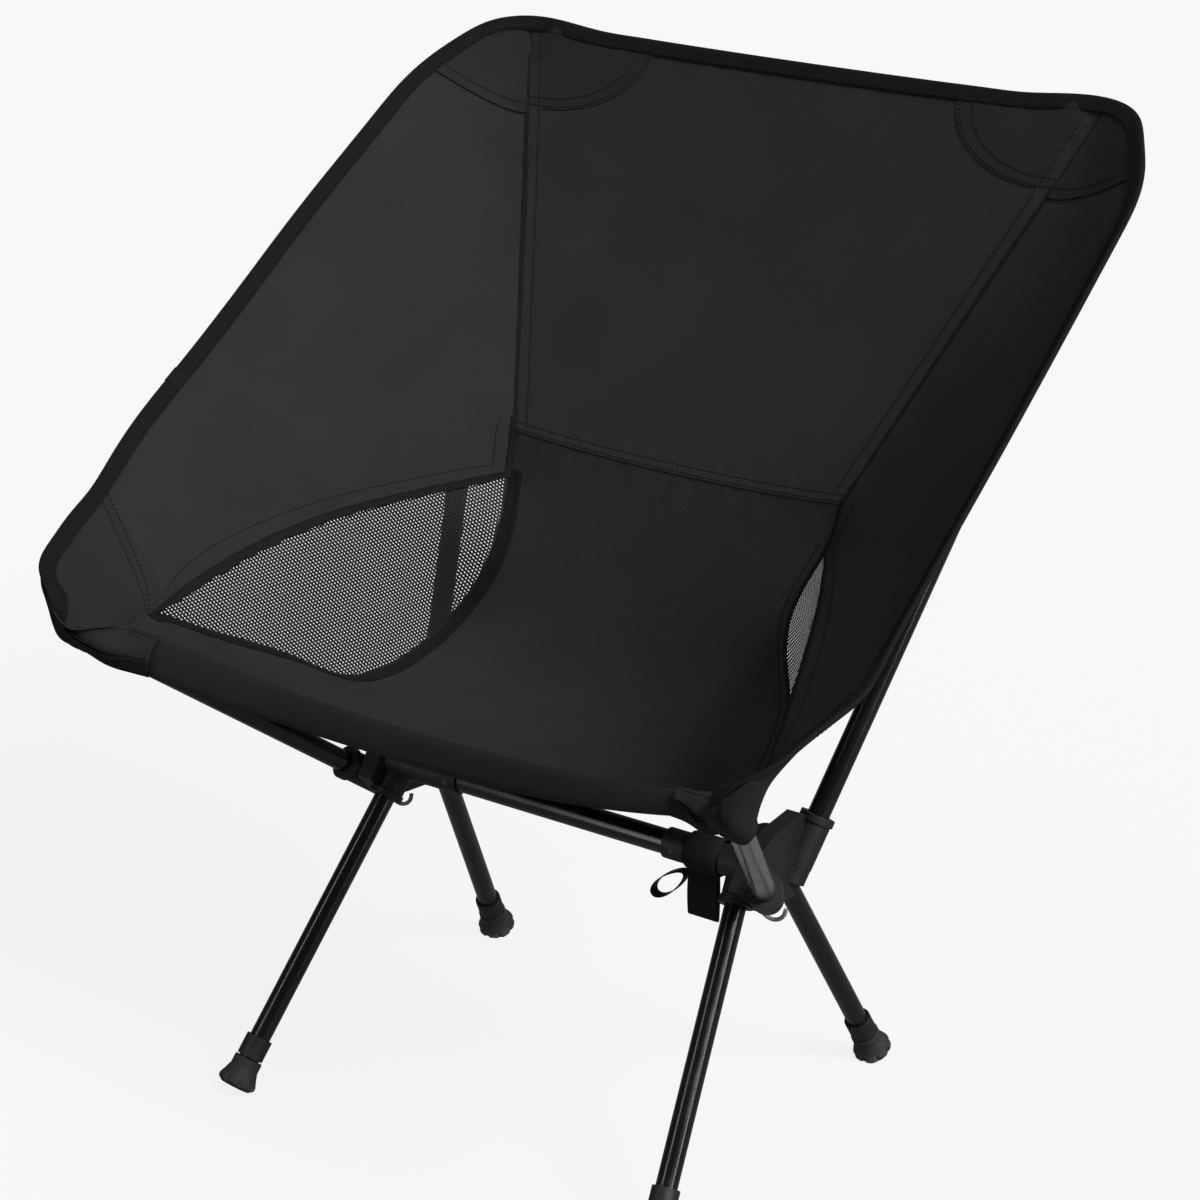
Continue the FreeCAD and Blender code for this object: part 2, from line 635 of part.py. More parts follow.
# ---------------------------------------------------------------- sling: cloth solids
def sampled(points, count):
    """Evenly spaced points on a smooth curve through the given ones."""
    curve = Part.BSplineCurve()
    curve.interpolate(points)
    return curve.toShape().discretize(count)


def blend(start, end, share):
    """The point a share of the way from start to end."""
    return V(start).multiply(1 - share).add(V(end).multiply(share))


def between(start, end, count, bow=V(0, 0, 0)):
    """A row of points from start to end that bows at its middle."""
    row = []
    for i in range(count):
        share = i / (count - 1)
        row.append(blend(start, end, share).add(V(bow).multiply(4 * share * (1 - share))))
    return row


def across(side_point, centre_point, count):
    """A row from the left side to the right side that hangs down to the centre point."""
    row = []
    for i in range(count):
        share = 2 * i / (count - 1) - 1
        y = centre_point.y + (side_point.y - centre_point.y) * share ** 2
        z = centre_point.z + (side_point.z - centre_point.z) * abs(share) ** 2.2
        row.append(V(side_point.x * share, y, z))
    return row


def columns_of(rows):
    """The same grid with rows and columns exchanged."""
    return [list(column) for column in zip(*rows)]


def inset(rows, first_gap, last_gap):
    """The grid with its first and last rows drawn in by a gap along each column."""
    inner = [list(row) for row in rows]
    for j in range(len(rows[0])):
        inner[0][j] = along(rows[0][j], unit(rows[0][j], rows[1][j]), first_gap)
        inner[-1][j] = along(rows[-1][j], unit(rows[-1][j], rows[-2][j]), last_gap)
    return inner


def band(rows, width):
    """The strip of the grid next to its first row."""
    edge = rows[0]
    inner = [along(edge[j], unit(edge[j], rows[1][j]), width) for j in range(len(edge))]
    return [edge, inner]


def cloth_solid(rows, thickness):
    """A closed sheet of flat triangles, half its thickness to either side of a grid of points."""
    tall = len(rows)
    wide = len(rows[0])
    front = []
    back = []
    for i in range(tall):
        front.append([])
        back.append([])
        for j in range(wide):
            down = rows[min(i + 1, tall - 1)][j].sub(rows[max(i - 1, 0)][j])
            side_step = rows[i][min(j + 1, wide - 1)].sub(rows[i][max(j - 1, 0)])
            normal = down.cross(side_step)
            normal.normalize()
            front[i].append(along(rows[i][j], normal, thickness / 2))
            back[i].append(along(rows[i][j], normal, -thickness / 2))
    rim = [(0, j) for j in range(wide)]
    rim += [(i, wide - 1) for i in range(1, tall)]
    rim += [(tall - 1, j) for j in range(wide - 2, -1, -1)]
    rim += [(i, 0) for i in range(tall - 2, 0, -1)]
    quads = []
    for layer in (front, back):
        for i in range(tall - 1):
            for j in range(wide - 1):
                quads.append((layer[i][j], layer[i][j + 1], layer[i + 1][j + 1], layer[i + 1][j]))
    for k, (i, j) in enumerate(rim):
        m, n = rim[(k + 1) % len(rim)]
        quads.append((front[i][j], front[m][n], back[m][n], back[i][j]))
    faces = []
    for one, two, three, four in quads:
        faces.append(Part.Face(Part.makePolygon([one, two, three, one])))
        faces.append(Part.Face(Part.makePolygon([one, three, four, one])))
    shell = Part.Shell(faces)
    shell.sewShape()
    solid = Part.Solid(shell)
    if solid.Volume < 0:
        solid.reverse()
    return solid


def cloth(name, rows, thickness):
    return freeform(name, cloth_solid(rows, thickness))


def mirrored_rows(rows, side):
    return [[mirrored(point, side) for point in row] for row in rows]


# ---------------------------------------------------------------- sling: panels
GAP = dim("seam_gap")
CLOTH = dim("cloth")
VENT_FOLD_GAP = dim("vent_fold_gap")
TAPE = dim("tape")
TAPE_WIDTH = dim("tape_width")
ACROSS = 9
DOWN = 13

back_centre = sampled([TOP_CENTRE, BACK_CENTRE_MID, SEAT_SEAM_CENTRE], 7)
back_side = between(BACK_SEAM_TOP, BACK_SEAM_FOOT, 7)
back_rows = [across(back_side[i], back_centre[i], ACROSS) for i in range(7)]
back_open = columns_of(inset(columns_of(inset(back_rows, TAPE_WIDTH + GAP, GAP)), GAP, GAP))
cloth("back_panel", back_open, CLOTH)
cloth("top_binding", columns_of(inset(columns_of(band(back_rows, TAPE_WIDTH)), GAP, GAP)), TAPE)

seat_side = sampled(SEAT_SIDE, DOWN)
seat_centre = sampled(SEAT_CENTRE, DOWN)
seat_rows = [across(seat_side[i], seat_centre[i], ACROSS) for i in range(DOWN)]
cloth("seat_panel", columns_of(inset(columns_of(inset(seat_rows, GAP, GAP)), GAP, GAP)), CLOTH)

hem_rows = [sampled(HEM_TOP, ACROSS), sampled(HEM_BOTTOM, ACROSS)]
cloth("front_hem", columns_of(inset(columns_of(inset(hem_rows, GAP, 0)), 2 * GAP, 2 * GAP)), TAPE)

# The wing's bow away from the sitter, full at its middle and gone at both of its ends.
WING_BOW = V(3, 4, -4)
ROWS = 5
seam_top = blend(BACK_SEAM_TOP, BACK_SEAM_FOOT, 0.07)
outer = sampled(WING_EDGE_BACK, 9) + sampled(WING_EDGE_FRONT, 6)[1:]
inner = between(seam_top, BACK_SEAM_FOOT, 8) + sampled(VENT_TOP, 6)
wing_columns = []
for k in range(len(outer)):
    share = k / (len(outer) - 1)
    bow = V(WING_BOW).multiply(4 * share * (1 - share))
    wing_columns.append(between(outer[k], inner[k], ROWS, bow))
corner_outer = sampled(CORNER_EDGE, 6)
corner_inner = between(VENT_FRONT, SEAT_FRONT, 6)
corner_columns = [between(corner_outer[k], corner_inner[k], ROWS) for k in range(6)]
wing_rows = columns_of(wing_columns)
corner_rows = columns_of(corner_columns)
edge_rows = columns_of(wing_columns + corner_columns[1:])

vent_top = sampled(VENT_TOP, 14)
vent_bottom = sampled(VENT_BOTTOM, 14)
vent_rows = columns_of([between(vent_top[k], vent_bottom[k], 4) for k in range(1, 13)])

for side_name, side in SIDES:
    wing = inset(columns_of(inset(wing_rows, TAPE_WIDTH + GAP, GAP)), GAP, GAP)
    cloth("wing_" + side_name, mirrored_rows(wing, side), CLOTH)
    corner = inset(columns_of(inset(corner_rows, TAPE_WIDTH + GAP, GAP)), GAP, GAP)
    cloth("front_corner_" + side_name, mirrored_rows(corner, side), CLOTH)
    cloth("edge_binding_" + side_name, mirrored_rows(band(edge_rows, TAPE_WIDTH), side), TAPE)
    cloth("vent_" + side_name, mirrored_rows(inset(vent_rows, GAP, VENT_FOLD_GAP), side), CLOTH)


# ---------------------------------------------------------------- sling: pockets for the pole tips
def pocket(name, tip, direction, length):
    """A sewn sleeve, closed over the pole's tip."""
    radius = ref("pocket_dia") + " / 2"
    inner_radius = ref("pocket_bore_dia") + " / 2"
    roof = "%s + 1" % ref(length)
    profile = [
        (inner_radius, "0"),
        (radius, "0"),
        (radius, ref(length)),
        (radius + " * 0.75", ref(length) + " + 2.2"),
        ("0", ref(length) + " + 3"),
        ("0", roof),
        (inner_radius, roof),
    ]
    turned(name, profile, along(tip, direction, -dim(length)), direction)


for side_name, side in SIDES:
    up = V(FRONT_POLE_UP.x * side, FRONT_POLE_UP.y, FRONT_POLE_UP.z)
    pocket("front_pocket_" + side_name, mirrored(FRONT_POLE_TIP, side), up, "front_pocket_length")
    up = V(BACK_POLE_UP.x * side, BACK_POLE_UP.y, BACK_POLE_UP.z)
    pocket("back_pocket_" + side_name, mirrored(BACK_POLE_TIP, side), up, "back_pocket_length")


# ---------------------------------------------------------------- check and export
doc.recompute()
for item in doc.Objects:
    if "Invalid" in item.State or "Error" in item.State:
        raise RuntimeError("%s: %s" % (item.Name, item.State))
for name, feature in nodes.items():
    if feature.Shape.isNull() or not feature.Shape.isValid():
        raise RuntimeError("bad shape: " + name)

os.makedirs("parts", exist_ok=True)
for name, feature in nodes.items():
    feature.Shape.exportStep("parts/%s.step" % name)
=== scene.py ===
"""Looks of an ultralight folding camping chair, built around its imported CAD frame."""

import math

import bmesh
import bpy
import numpy as np
from mathutils import Matrix, Vector
from mathutils.bvhtree import BVHTree


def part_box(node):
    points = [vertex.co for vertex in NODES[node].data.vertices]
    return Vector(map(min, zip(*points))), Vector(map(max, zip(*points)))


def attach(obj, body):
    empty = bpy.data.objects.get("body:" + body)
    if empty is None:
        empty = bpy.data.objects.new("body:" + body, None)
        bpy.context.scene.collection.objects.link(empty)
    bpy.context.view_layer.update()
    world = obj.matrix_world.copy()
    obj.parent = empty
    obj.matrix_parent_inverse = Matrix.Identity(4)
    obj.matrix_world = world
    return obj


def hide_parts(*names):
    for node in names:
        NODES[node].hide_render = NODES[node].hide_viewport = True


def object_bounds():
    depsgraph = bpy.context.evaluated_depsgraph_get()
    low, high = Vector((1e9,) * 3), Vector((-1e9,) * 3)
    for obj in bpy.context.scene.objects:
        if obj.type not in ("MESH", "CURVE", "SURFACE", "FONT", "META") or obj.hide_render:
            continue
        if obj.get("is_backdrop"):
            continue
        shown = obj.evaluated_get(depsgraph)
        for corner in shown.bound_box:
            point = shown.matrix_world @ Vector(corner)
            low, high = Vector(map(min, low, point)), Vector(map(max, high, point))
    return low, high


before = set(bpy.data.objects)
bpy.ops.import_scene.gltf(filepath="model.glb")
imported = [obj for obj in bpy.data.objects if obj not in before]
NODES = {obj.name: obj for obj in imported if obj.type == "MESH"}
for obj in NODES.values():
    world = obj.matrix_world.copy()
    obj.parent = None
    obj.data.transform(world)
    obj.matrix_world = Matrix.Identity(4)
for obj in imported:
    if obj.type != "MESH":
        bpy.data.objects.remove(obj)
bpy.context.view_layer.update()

# ---- frame and sizes
MM = 0.001
CELL = 3.0 * MM  # step of the grids that hold the sling's surfaces
CLOTH = 0.9 * MM  # thickness of the sling cloth
LAYER = 0.6 * MM  # thickness of a second layer sewn on it
LIFT = 0.9 * MM  # how far a second layer's middle lies above the cloth's middle
ON_LAYER = LIFT + LAYER / 2  # height of a second layer's top above the cloth's middle
SEAM_STEPS = np.array([0.0, 0.7, 1.6, 2.8, 4.4]) * MM  # closer grid lines beside an edge
FLIP = np.array([-1, 1, 1])  # turns the right side of the chair into its left side

bar_low, bar_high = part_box("crossbar")
BAR_Y = (bar_low.y + bar_high.y) / 2
BAR_Z = (bar_low.z + bar_high.z) / 2


def at(x, y, z):
    """A point in millimetres whose y is measured from the crossbar."""
    return np.array([x * MM, BAR_Y + y * MM, z * MM])


# ---- the sling's curves, right side
TOP_CENTRE = at(0, 290, 656)
SEAM_TOP = at(229, 289, 659)
SEAM_FOOT = at(131, 130, 410)
BACK_MIDDLE = at(0, 222, 530)
SEAT_TOP_CENTRE = at(0, 132, 404)
VENT_BACK = at(127.6, 118.5, 381)
VENT_FRONT = at(235, -138, 335)
SEAT_SIDE = [
    SEAM_FOOT, VENT_BACK, at(121, 102, 358), at(120.5, 82.5, 326.5), at(135.5, 63, 291.5),
    at(149, 17.5, 269), at(164, -20, 266.5), at(183, -49.5, 284.5), at(219, -109, 319),
    VENT_FRONT, at(224, -172, 341),
]
SEAT_CENTRE = [
    SEAT_TOP_CENTRE, at(0, 104, 345), at(0, 78, 300), at(0, 42, 264),
    at(0, -10, 248), at(0, -60, 255), at(0, -110, 279), at(0, -158, 318),
]
VENT_TOP = [VENT_BACK, at(160, 57, 378), at(190, -9, 373), at(215, -75, 358), VENT_FRONT]
EDGE_BACK = [
    at(231, 288, 662), at(249, 280, 660), at(263, 264, 653), at(276, 243, 641),
    at(285, 222, 628), at(290, 180, 602), at(293, 97, 551), at(294, 32, 509),
]
EDGE_FRONT = [at(294, 32, 509), at(295, -31, 470), at(296, -80, 440), at(295, -122, 408)]
CORNER_FRONT = at(254, -211, 361)  # the foremost point of the corner on the front wall
CORNER_EDGE = [at(295, -122, 408), at(284, -172, 391), at(266, -206, 373), at(240, -210, 349)]
HEM_DROP_CENTRE = np.array([0, -4, -21]) * MM
HEM_DROP_LEFT = np.array([-2, -9, -24]) * MM
HEM_DROP_RIGHT = np.array([2, -7, -10]) * MM  # the right end is pulled up higher
WING_BOW = np.array([3, 4, -4]) * MM  # the wing's belly, away from the sitter
WING_START = 0.07  # share of the back's seam above the wing's top

# The wing and its front corner are laid out by stations along the edge.
LAST_SEAM = 7  # the seam with the back ends here
FIRST_VENT = 8  # the vent begins here
WING_END = 13  # the wing ends and the corner begins
LAST_STATION = 18
SEAM_SHARE = LAST_SEAM / LAST_STATION  # the same places as shares of the wing's grid
WING_SHARE = WING_END / LAST_STATION


# ---- curves and grids
def unit(vectors):
    return vectors / np.linalg.norm(vectors, axis=-1, keepdims=True)


def lengths_along(points):
    """The distance of each point from the first one along the line."""
    steps = np.linalg.norm(np.diff(points, axis=0), axis=-1)
    return np.concatenate([np.zeros((1,) + steps.shape[1:]), np.cumsum(steps, axis=0)])


def lengths_across(grid):
    """The distance of each point of a grid from the first one in its row."""
    return np.swapaxes(lengths_along(np.swapaxes(grid, 0, 1)), 0, 1)


def read_line(want, lengths, line):
    """The values of a line where it reaches the wanted lengths."""
    return np.stack([np.interp(want, lengths, line[:, axis]) for axis in range(3)], axis=-1)


def cubic(knots, points):
    """The natural cubic through points at knots, sampled finely."""
    gaps = np.diff(knots)
    count = len(knots)
    system = np.eye(count)
    for i in range(1, count - 1):
        system[i, i - 1 : i + 2] = gaps[i - 1], 2 * (gaps[i - 1] + gaps[i]), gaps[i]
    right = np.zeros_like(points)
    right[1:-1] = 6 * np.diff(np.diff(points, axis=0) / gaps[:, None], axis=0)
    bends = np.linalg.solve(system, right)
    t = np.linspace(knots[0], knots[-1], 1500)
    k = np.clip(np.searchsorted(knots, t, side="right") - 1, 0, count - 2)
    gap = gaps[k][:, None]
    a = (knots[k + 1] - t)[:, None] / gap
    b = 1 - a
    bend = (a**3 - a) * bends[k] + (b**3 - b) * bends[k + 1]
    return a * points[k] + b * points[k + 1] + bend * gap**2 / 6


def curve_through(points):
    """A smooth curve through points, as a function of the share of its length."""
    points = np.array(points)
    dense = cubic(lengths_along(points), points)
    shares = lengths_along(dense)
    shares = shares / shares[-1]
    return lambda share: read_line(share, shares, dense)


def straight(start, end):
    return lambda share: start + (end - start) * np.asarray(share)[..., None]


def part_of(curve, first, last):
    """The stretch of a curve between two shares of its length."""
    return lambda share: curve(first + (last - first) * share)


def curve_length(curve, first=0, last=1):
    return lengths_along(curve(np.linspace(first, last, 300)))[-1]


def rail(*stretches):
    """A line made of curves, each given with the stations where it starts and ends."""

    def place(station):
        line = np.zeros((len(station), 3))
        for curve, first, last in stretches:
            inside = (station >= first) & (station <= last)
            line[inside] = curve((station[inside] - first) / (last - first))
        return line

    return place


def normals_of(grid):
    """The direction square to a grid at each of its points; on the sling, towards the sitter."""
    return unit(np.cross(np.gradient(grid, axis=0), np.gradient(grid, axis=1)))


def relaxed(grid, rounds):
    """The grid pulled taut between its four edges, like stretched cloth."""
    taut = grid.copy()
    for _ in range(rounds):
        inner = taut[:-2, 1:-1] + taut[2:, 1:-1] + taut[1:-1, :-2] + taut[1:-1, 2:]
        taut[1:-1, 1:-1] = inner / 4
    return taut


# Weights of four neighbours in a smooth curve between the middle two, by powers of the step.
SMOOTH_STEP = np.array([[0, 2, 0, 0], [-1, 0, 1, 0], [2, -5, 4, -1], [-1, 3, -3, 1]]) / 2


def sample(grid, down, across):
    """Points of a grid at shares of its height and width, smoothly between its points."""
    padded = grid
    for _ in range(2):
        padded = np.concatenate([2 * padded[:1] - padded[1:2], padded, 2 * padded[-1:] - padded[-2:-1]])
        padded = np.swapaxes(padded, 0, 1)
    down, across = np.broadcast_arrays(down, across)
    taps = []
    for share, count in ((down, grid.shape[0]), (across, grid.shape[1])):
        place = share * (count - 1)
        cell = np.clip(np.floor(place).astype(int), 0, count - 2)
        weights = np.polynomial.polynomial.polyval(place - cell, SMOOTH_STEP)
        taps.append([(cell + k, weights[k]) for k in range(4)])
    total = np.zeros(down.shape + (3,))
    for row, row_weight in taps[0]:
        for column, column_weight in taps[1]:
            total += padded[row, column] * (row_weight * column_weight)[..., None]
    return total


def graded(length):
    """Shares of a length, with closer steps beside its two ends."""
    reach = SEAM_STEPS[-1]
    count = max(2, int((length - 2 * reach) / CELL) + 1)
    middle = np.linspace(reach, length - reach, count)
    return np.concatenate([SEAM_STEPS[:-1], middle, (length - SEAM_STEPS[:-1])[::-1]]) / length


def hung(side, centre, down, across):
    """Rows from side to side that sag to a centre line; across runs from -1 to 1."""
    side = side(down)[:, None]
    centre = centre(down)[:, None]
    share = across[None, :]
    x = side[..., 0] * share
    y = centre[..., 1] + (side[..., 1] - centre[..., 1]) * share**2
    z = centre[..., 2] + (side[..., 2] - centre[..., 2]) * np.abs(share) ** 2.2
    return np.stack([x, y, z], axis=-1)


PUCKER_HEIGHT = 0.16 * MM
PUCKER_REACH = 9 * MM  # distance from a seam over which the puckers fade
PUCKER_WAVE = 11 * MM  # shortest length of a pucker along the seam


def puckered(grid, seed):
    """A grid with small sewing puckers that run in from all four edges and fade inside."""
    draw = np.random.default_rng(seed)
    rows = lengths_along(grid)
    columns = lengths_across(grid)
    total = np.zeros(grid.shape[:2])
    left, right = (columns, rows), (columns[:, -1:] - columns, rows)
    top, bottom = (rows, columns), (rows[-1:] - rows, columns)
    for distance, place in (left, right, top, bottom):
        wave = np.zeros_like(place)
        for scale in (1.0, 1.7, 2.9):
            phase = draw.uniform(0, 2 * math.pi)
            wave += np.sin(2 * math.pi * place / (PUCKER_WAVE * scale) + phase) * scale**0.5
        total += wave * np.exp(-distance / PUCKER_REACH) * np.clip(distance / (4 * MM), 0, 1)
    return grid + normals_of(grid) * (total * PUCKER_HEIGHT)[..., None]


POLE_LIFT = 3.0 * MM  # the poles lift the top edge a little beside each seam
POLE_LIFT_PLACE = 205 * MM  # where they lift it most, measured from the middle
POLE_LIFT_WIDTH = 22 * MM
POLE_LIFT_DEPTH = 0.12  # share of the back's height over which the lift fades
BACK_ROWS = np.linspace(0, 1, 104)
SEAT_ROWS = np.linspace(0, 1, 125)
COLUMNS = np.linspace(-1, 1, 150)

back_centre = curve_through([TOP_CENTRE, BACK_MIDDLE, SEAT_TOP_CENTRE])
back_grid = hung(straight(SEAM_TOP, SEAM_FOOT), back_centre, BACK_ROWS, COLUMNS)
from_pole = (np.abs(back_grid[..., 0]) - POLE_LIFT_PLACE) / POLE_LIFT_WIDTH
back_grid[..., 2] += POLE_LIFT * np.exp(-(from_pole**2)) * np.exp(-BACK_ROWS[:, None] / POLE_LIFT_DEPTH)

seat_side = curve_through(SEAT_SIDE)
seat_grid = hung(seat_side, curve_through(SEAT_CENTRE), SEAT_ROWS, COLUMNS)


def share_at(curve, point):
    """The share of a curve's length where it passes closest to a point."""
    shares = np.linspace(0, 1, 2001)
    return shares[np.argmin(np.linalg.norm(curve(shares) - point, axis=1))]


VENT_FOOT = share_at(seat_side, VENT_BACK)
VENT_HEAD = share_at(seat_side, VENT_FRONT)
vent_top = curve_through(VENT_TOP)
vent_bottom = part_of(seat_side, VENT_FOOT, VENT_HEAD)
wing_outer = rail(
    (curve_through(EDGE_BACK), 0, FIRST_VENT),
    (curve_through(EDGE_FRONT), FIRST_VENT, WING_END),
    (curve_through(CORNER_EDGE), WING_END, LAST_STATION),
)
wing_inner = rail(
    (straight(SEAM_TOP + (SEAM_FOOT - SEAM_TOP) * WING_START, SEAM_FOOT), 0, LAST_SEAM),
    (part_of(seat_side, 0, VENT_FOOT), LAST_SEAM, FIRST_VENT),
    (vent_top, FIRST_VENT, WING_END),
    (part_of(seat_side, VENT_HEAD, 1), WING_END, LAST_STATION),
)


def wing_surface():
    """The right wing and its front corner as one taut sheet, inner rail to outer edge."""
    station = np.linspace(0, LAST_STATION, 235)
    share = np.linspace(0, 1, 60)[None, :, None]
    inner = wing_inner(station)[:, None]
    outer = wing_outer(station)[:, None]
    fade = np.clip(np.minimum(station / 2, (WING_END - station) / 3), 0, 1)[:, None, None]
    loose = inner + (outer - inner) * share + WING_BOW * 4 * share * (1 - share) * fade
    return relaxed(loose, 260)


GRIDS = {"back": puckered(back_grid, 3), "seat": puckered(seat_grid, 5), "wing": puckered(wing_surface(), 7)}
SURFACES = {name: (grid, normals_of(grid)) for name, grid in GRIDS.items()}


def on_surface(name, down, across, lift=0.0):
    """Points on a panel at shares of its height and width, lifted towards the sitter."""
    grid, normal = SURFACES[name]
    return sample(grid, down, across) + unit(sample(normal, down, across)) * lift


def normal_on(name, down, across):
    return unit(sample(SURFACES[name][1], down, across))


# ---- mesh parts
# A part is (points, four-cornered faces, lengths along and across for the weave).
def mirror(part):
    points, faces, lengths = part
    return points * FLIP, faces[:, ::-1], lengths


def facing(grid, towards):
    """The grid, with its columns turned round if its normals point away."""
    return grid if np.sum(normals_of(grid) * towards) > 0 else grid[:, ::-1]


def columns_of(*arrays):
    """Arrays side by side as columns, such as the corners of faces."""
    return np.stack([array.ravel() for array in arrays], axis=1)


def numbers(grid):
    """The numbers of a grid's points, row after row."""
    rows, columns = grid.shape[:2]
    return np.arange(rows * columns).reshape(rows, columns)


def grid_quads(grid):
    index = numbers(grid)
    return columns_of(index[:-1, :-1], index[1:, :-1], index[1:, 1:], index[:-1, 1:])


def thickened(middle, half, faces, flat):
    """A closed part around a surface, given the offset of its two skins and its lengths."""
    count = len(middle)
    start, end = faces.ravel(), np.roll(faces, -1, axis=1).ravel()
    rim = ~np.isin(start * count + end, end * count + start)
    wall = columns_of(end[rim], start[rim], start[rim] + count, end[rim] + count)
    points = np.concatenate([middle + half, middle - half])
    return points, np.concatenate([faces, faces[:, ::-1] + count, wall]), np.concatenate([flat, flat])


def sheet(grid, thickness, lift=0.0):
    """A closed sheet around a grid of points."""
    normal = normals_of(grid)
    across = lengths_across(grid)
    middle = grid.shape[1] // 2
    flat = columns_of(across - across[:, middle : middle + 1], lengths_along(grid))
    half = (normal * thickness / 2).reshape(-1, 3)
    return thickened((grid + normal * lift).reshape(-1, 3), half, grid_quads(grid), flat)


def loft(rings, closed=False):
    """A solid skin over rings of points, capped at its ends unless it closes on itself."""
    index = numbers(rings)
    around = rings.shape[1]
    follow = np.roll(index, -1, axis=0) if closed else index[1:]
    start = index if closed else index[:-1]
    faces = [columns_of(start, np.roll(start, -1, axis=1), np.roll(follow, -1, axis=1), follow)]
    if not closed:
        for ring in (index[0], index[-1][::-1]):
            fan = range(around // 2 - 1)
            faces.append(np.array([[ring[k + 1], ring[k], ring[-1 - k], ring[-2 - k]] for k in fan]))
    loop = np.concatenate([rings, rings[:, :1]], axis=1)
    lengths = columns_of(lengths_across(loop)[:, :-1], lengths_along(rings))
    return rings.reshape(-1, 3), np.concatenate(faces), lengths


def swept(path, side, up, section, closed=False):
    """A section of (side, up) offsets carried along a path."""
    rings = path[:, None] + side[:, None] * section[:, :1] + up[:, None] * section[:, 1:]
    return loft(rings, closed)


def flat_section(width, thickness):
    """A strap's section: flat, with rounded edges."""
    steps = (
        (1, 0.0), (0.97, 0.7), (0.9, 1.0), (0.45, 1.0), (0.0, 1.0), (-0.45, 1.0), (-0.9, 1.0), (-0.97, 0.7),
    )
    upper = np.array(steps) * (width / 2, thickness / 2)
    return np.concatenate([upper, -upper])


def evenly(path, step):
    """Points about a step apart along a path, and their distances from its start."""
    length = lengths_along(path)
    want = np.linspace(0, length[-1], max(2, int(length[-1] / step) + 1))
    return read_line(want, length, path), want


def directions(path):
    return unit(np.gradient(path, axis=0))


# ---- stitches
STITCH_PITCH = 3.4 * MM
STITCH_LENGTH = 2.7 * MM
THREAD_RADIUS = 0.36 * MM


def stitch_row(path, normal):
    """Thread loops that lie in a row along a path."""
    places, want = evenly(path, STITCH_PITCH)
    up = unit(read_line(want, lengths_along(path), normal))
    ahead = directions(places)
    side = np.cross(up, ahead)
    reach = np.array([-1, -0.86, -0.45, 0.0, 0.45, 0.86, 1]) * STITCH_LENGTH / 2
    girth = np.array([0.25, 0.7, 1, 1, 1, 0.7, 0.25]) * THREAD_RADIUS
    rise = np.array([-0.5, 0.0, 0.75, 1.0, 0.75, 0.0, -0.5]) * THREAD_RADIUS
    turn = np.arange(6) * math.pi / 3
    ring_side = girth[:, None] * np.cos(turn)
    ring_up = rise[:, None] + girth[:, None] * np.sin(turn)
    parts = []
    for k in range(len(places) - 1):
        middle = (places[k] + places[k + 1]) / 2
        rings = middle + ahead[k] * reach[:, None, None]
        rings = rings + side[k] * ring_side[..., None] + up[k] * ring_up[..., None]
        parts.append(loft(rings))
    return parts


def stitch_line(name, down, across, lift):
    """Stitches along a line of shares on a panel."""
    return stitch_row(on_surface(name, down, across, lift), normal_on(name, down, across))


# ---- materials
def add(tree, kind, inputs=None, **settings):
    """A node with its settings; each input is a value or another node's output."""
    made = tree.nodes.new("ShaderNode" + kind)
    for key, value in settings.items():
        setattr(made, key, value)
    for key, value in (inputs or {}).items():
        connect(tree, made.inputs[key], value)
    return made


def connect(tree, socket, value):
    """Feed a socket with a value or with another node's output."""
    if isinstance(value, bpy.types.NodeSocket):
        tree.links.new(value, socket)
    else:
        socket.default_value = value


def maths(tree, operation, *values):
    return add(tree, "Math", dict(enumerate(values)), operation=operation).outputs[0]


def vector_maths(tree, operation, inputs):
    return add(tree, "VectorMath", inputs, operation=operation).outputs


def object_place(tree):
    return add(tree, "TexCoord").outputs["Object"]


def new_material(name):
    made = bpy.data.materials.new(name)
    made.use_nodes = True
    return made, made.node_tree


def set_surface(tree, **values):
    surface = next(n for n in tree.nodes if n.type == "BSDF_PRINCIPLED")
    for key, value in values.items():
        connect(tree, surface.inputs[key.replace("_", " ")], value)


def grey(value, warm=0.0):
    """A grey of linear brightness, slightly warm or cool."""
    return (value * (1 + warm * 0.1), value, value * (1 - warm), 1)


def noise(tree, where, scale, detail=3.0, roughness=0.5):
    inputs = {"Vector": where, "Scale": scale, "Detail": detail, "Roughness": roughness}
    return add(tree, "TexNoise", inputs).outputs["Fac"]


def ramp(tree, value, low, high, start, end):
    """value carried from low..high to start..end."""
    inputs = {"Value": value, "From Min": low, "From Max": high, "To Min": start, "To Max": end}
    return add(tree, "MapRange", inputs).outputs["Result"]


def mixed(tree, factor, one, two):
    """A colour between two colours."""
    made = tree.nodes.new("ShaderNodeMix")
    made.data_type = "RGBA"
    for key, value in (("Factor", factor), ("A", one), ("B", two)):
        fits = (s for s in made.inputs if s.name == key and (key == "Factor" or s.type == "RGBA"))
        connect(tree, next(fits), value)
    return next(s for s in made.outputs if s.type == "RGBA")


def bump(tree, height, distance, strength=1.0, normal=None):
    inputs = {"Height": height, "Distance": distance, "Strength": strength}
    if normal is not None:
        inputs["Normal"] = normal
    return add(tree, "Bump", inputs).outputs["Normal"]


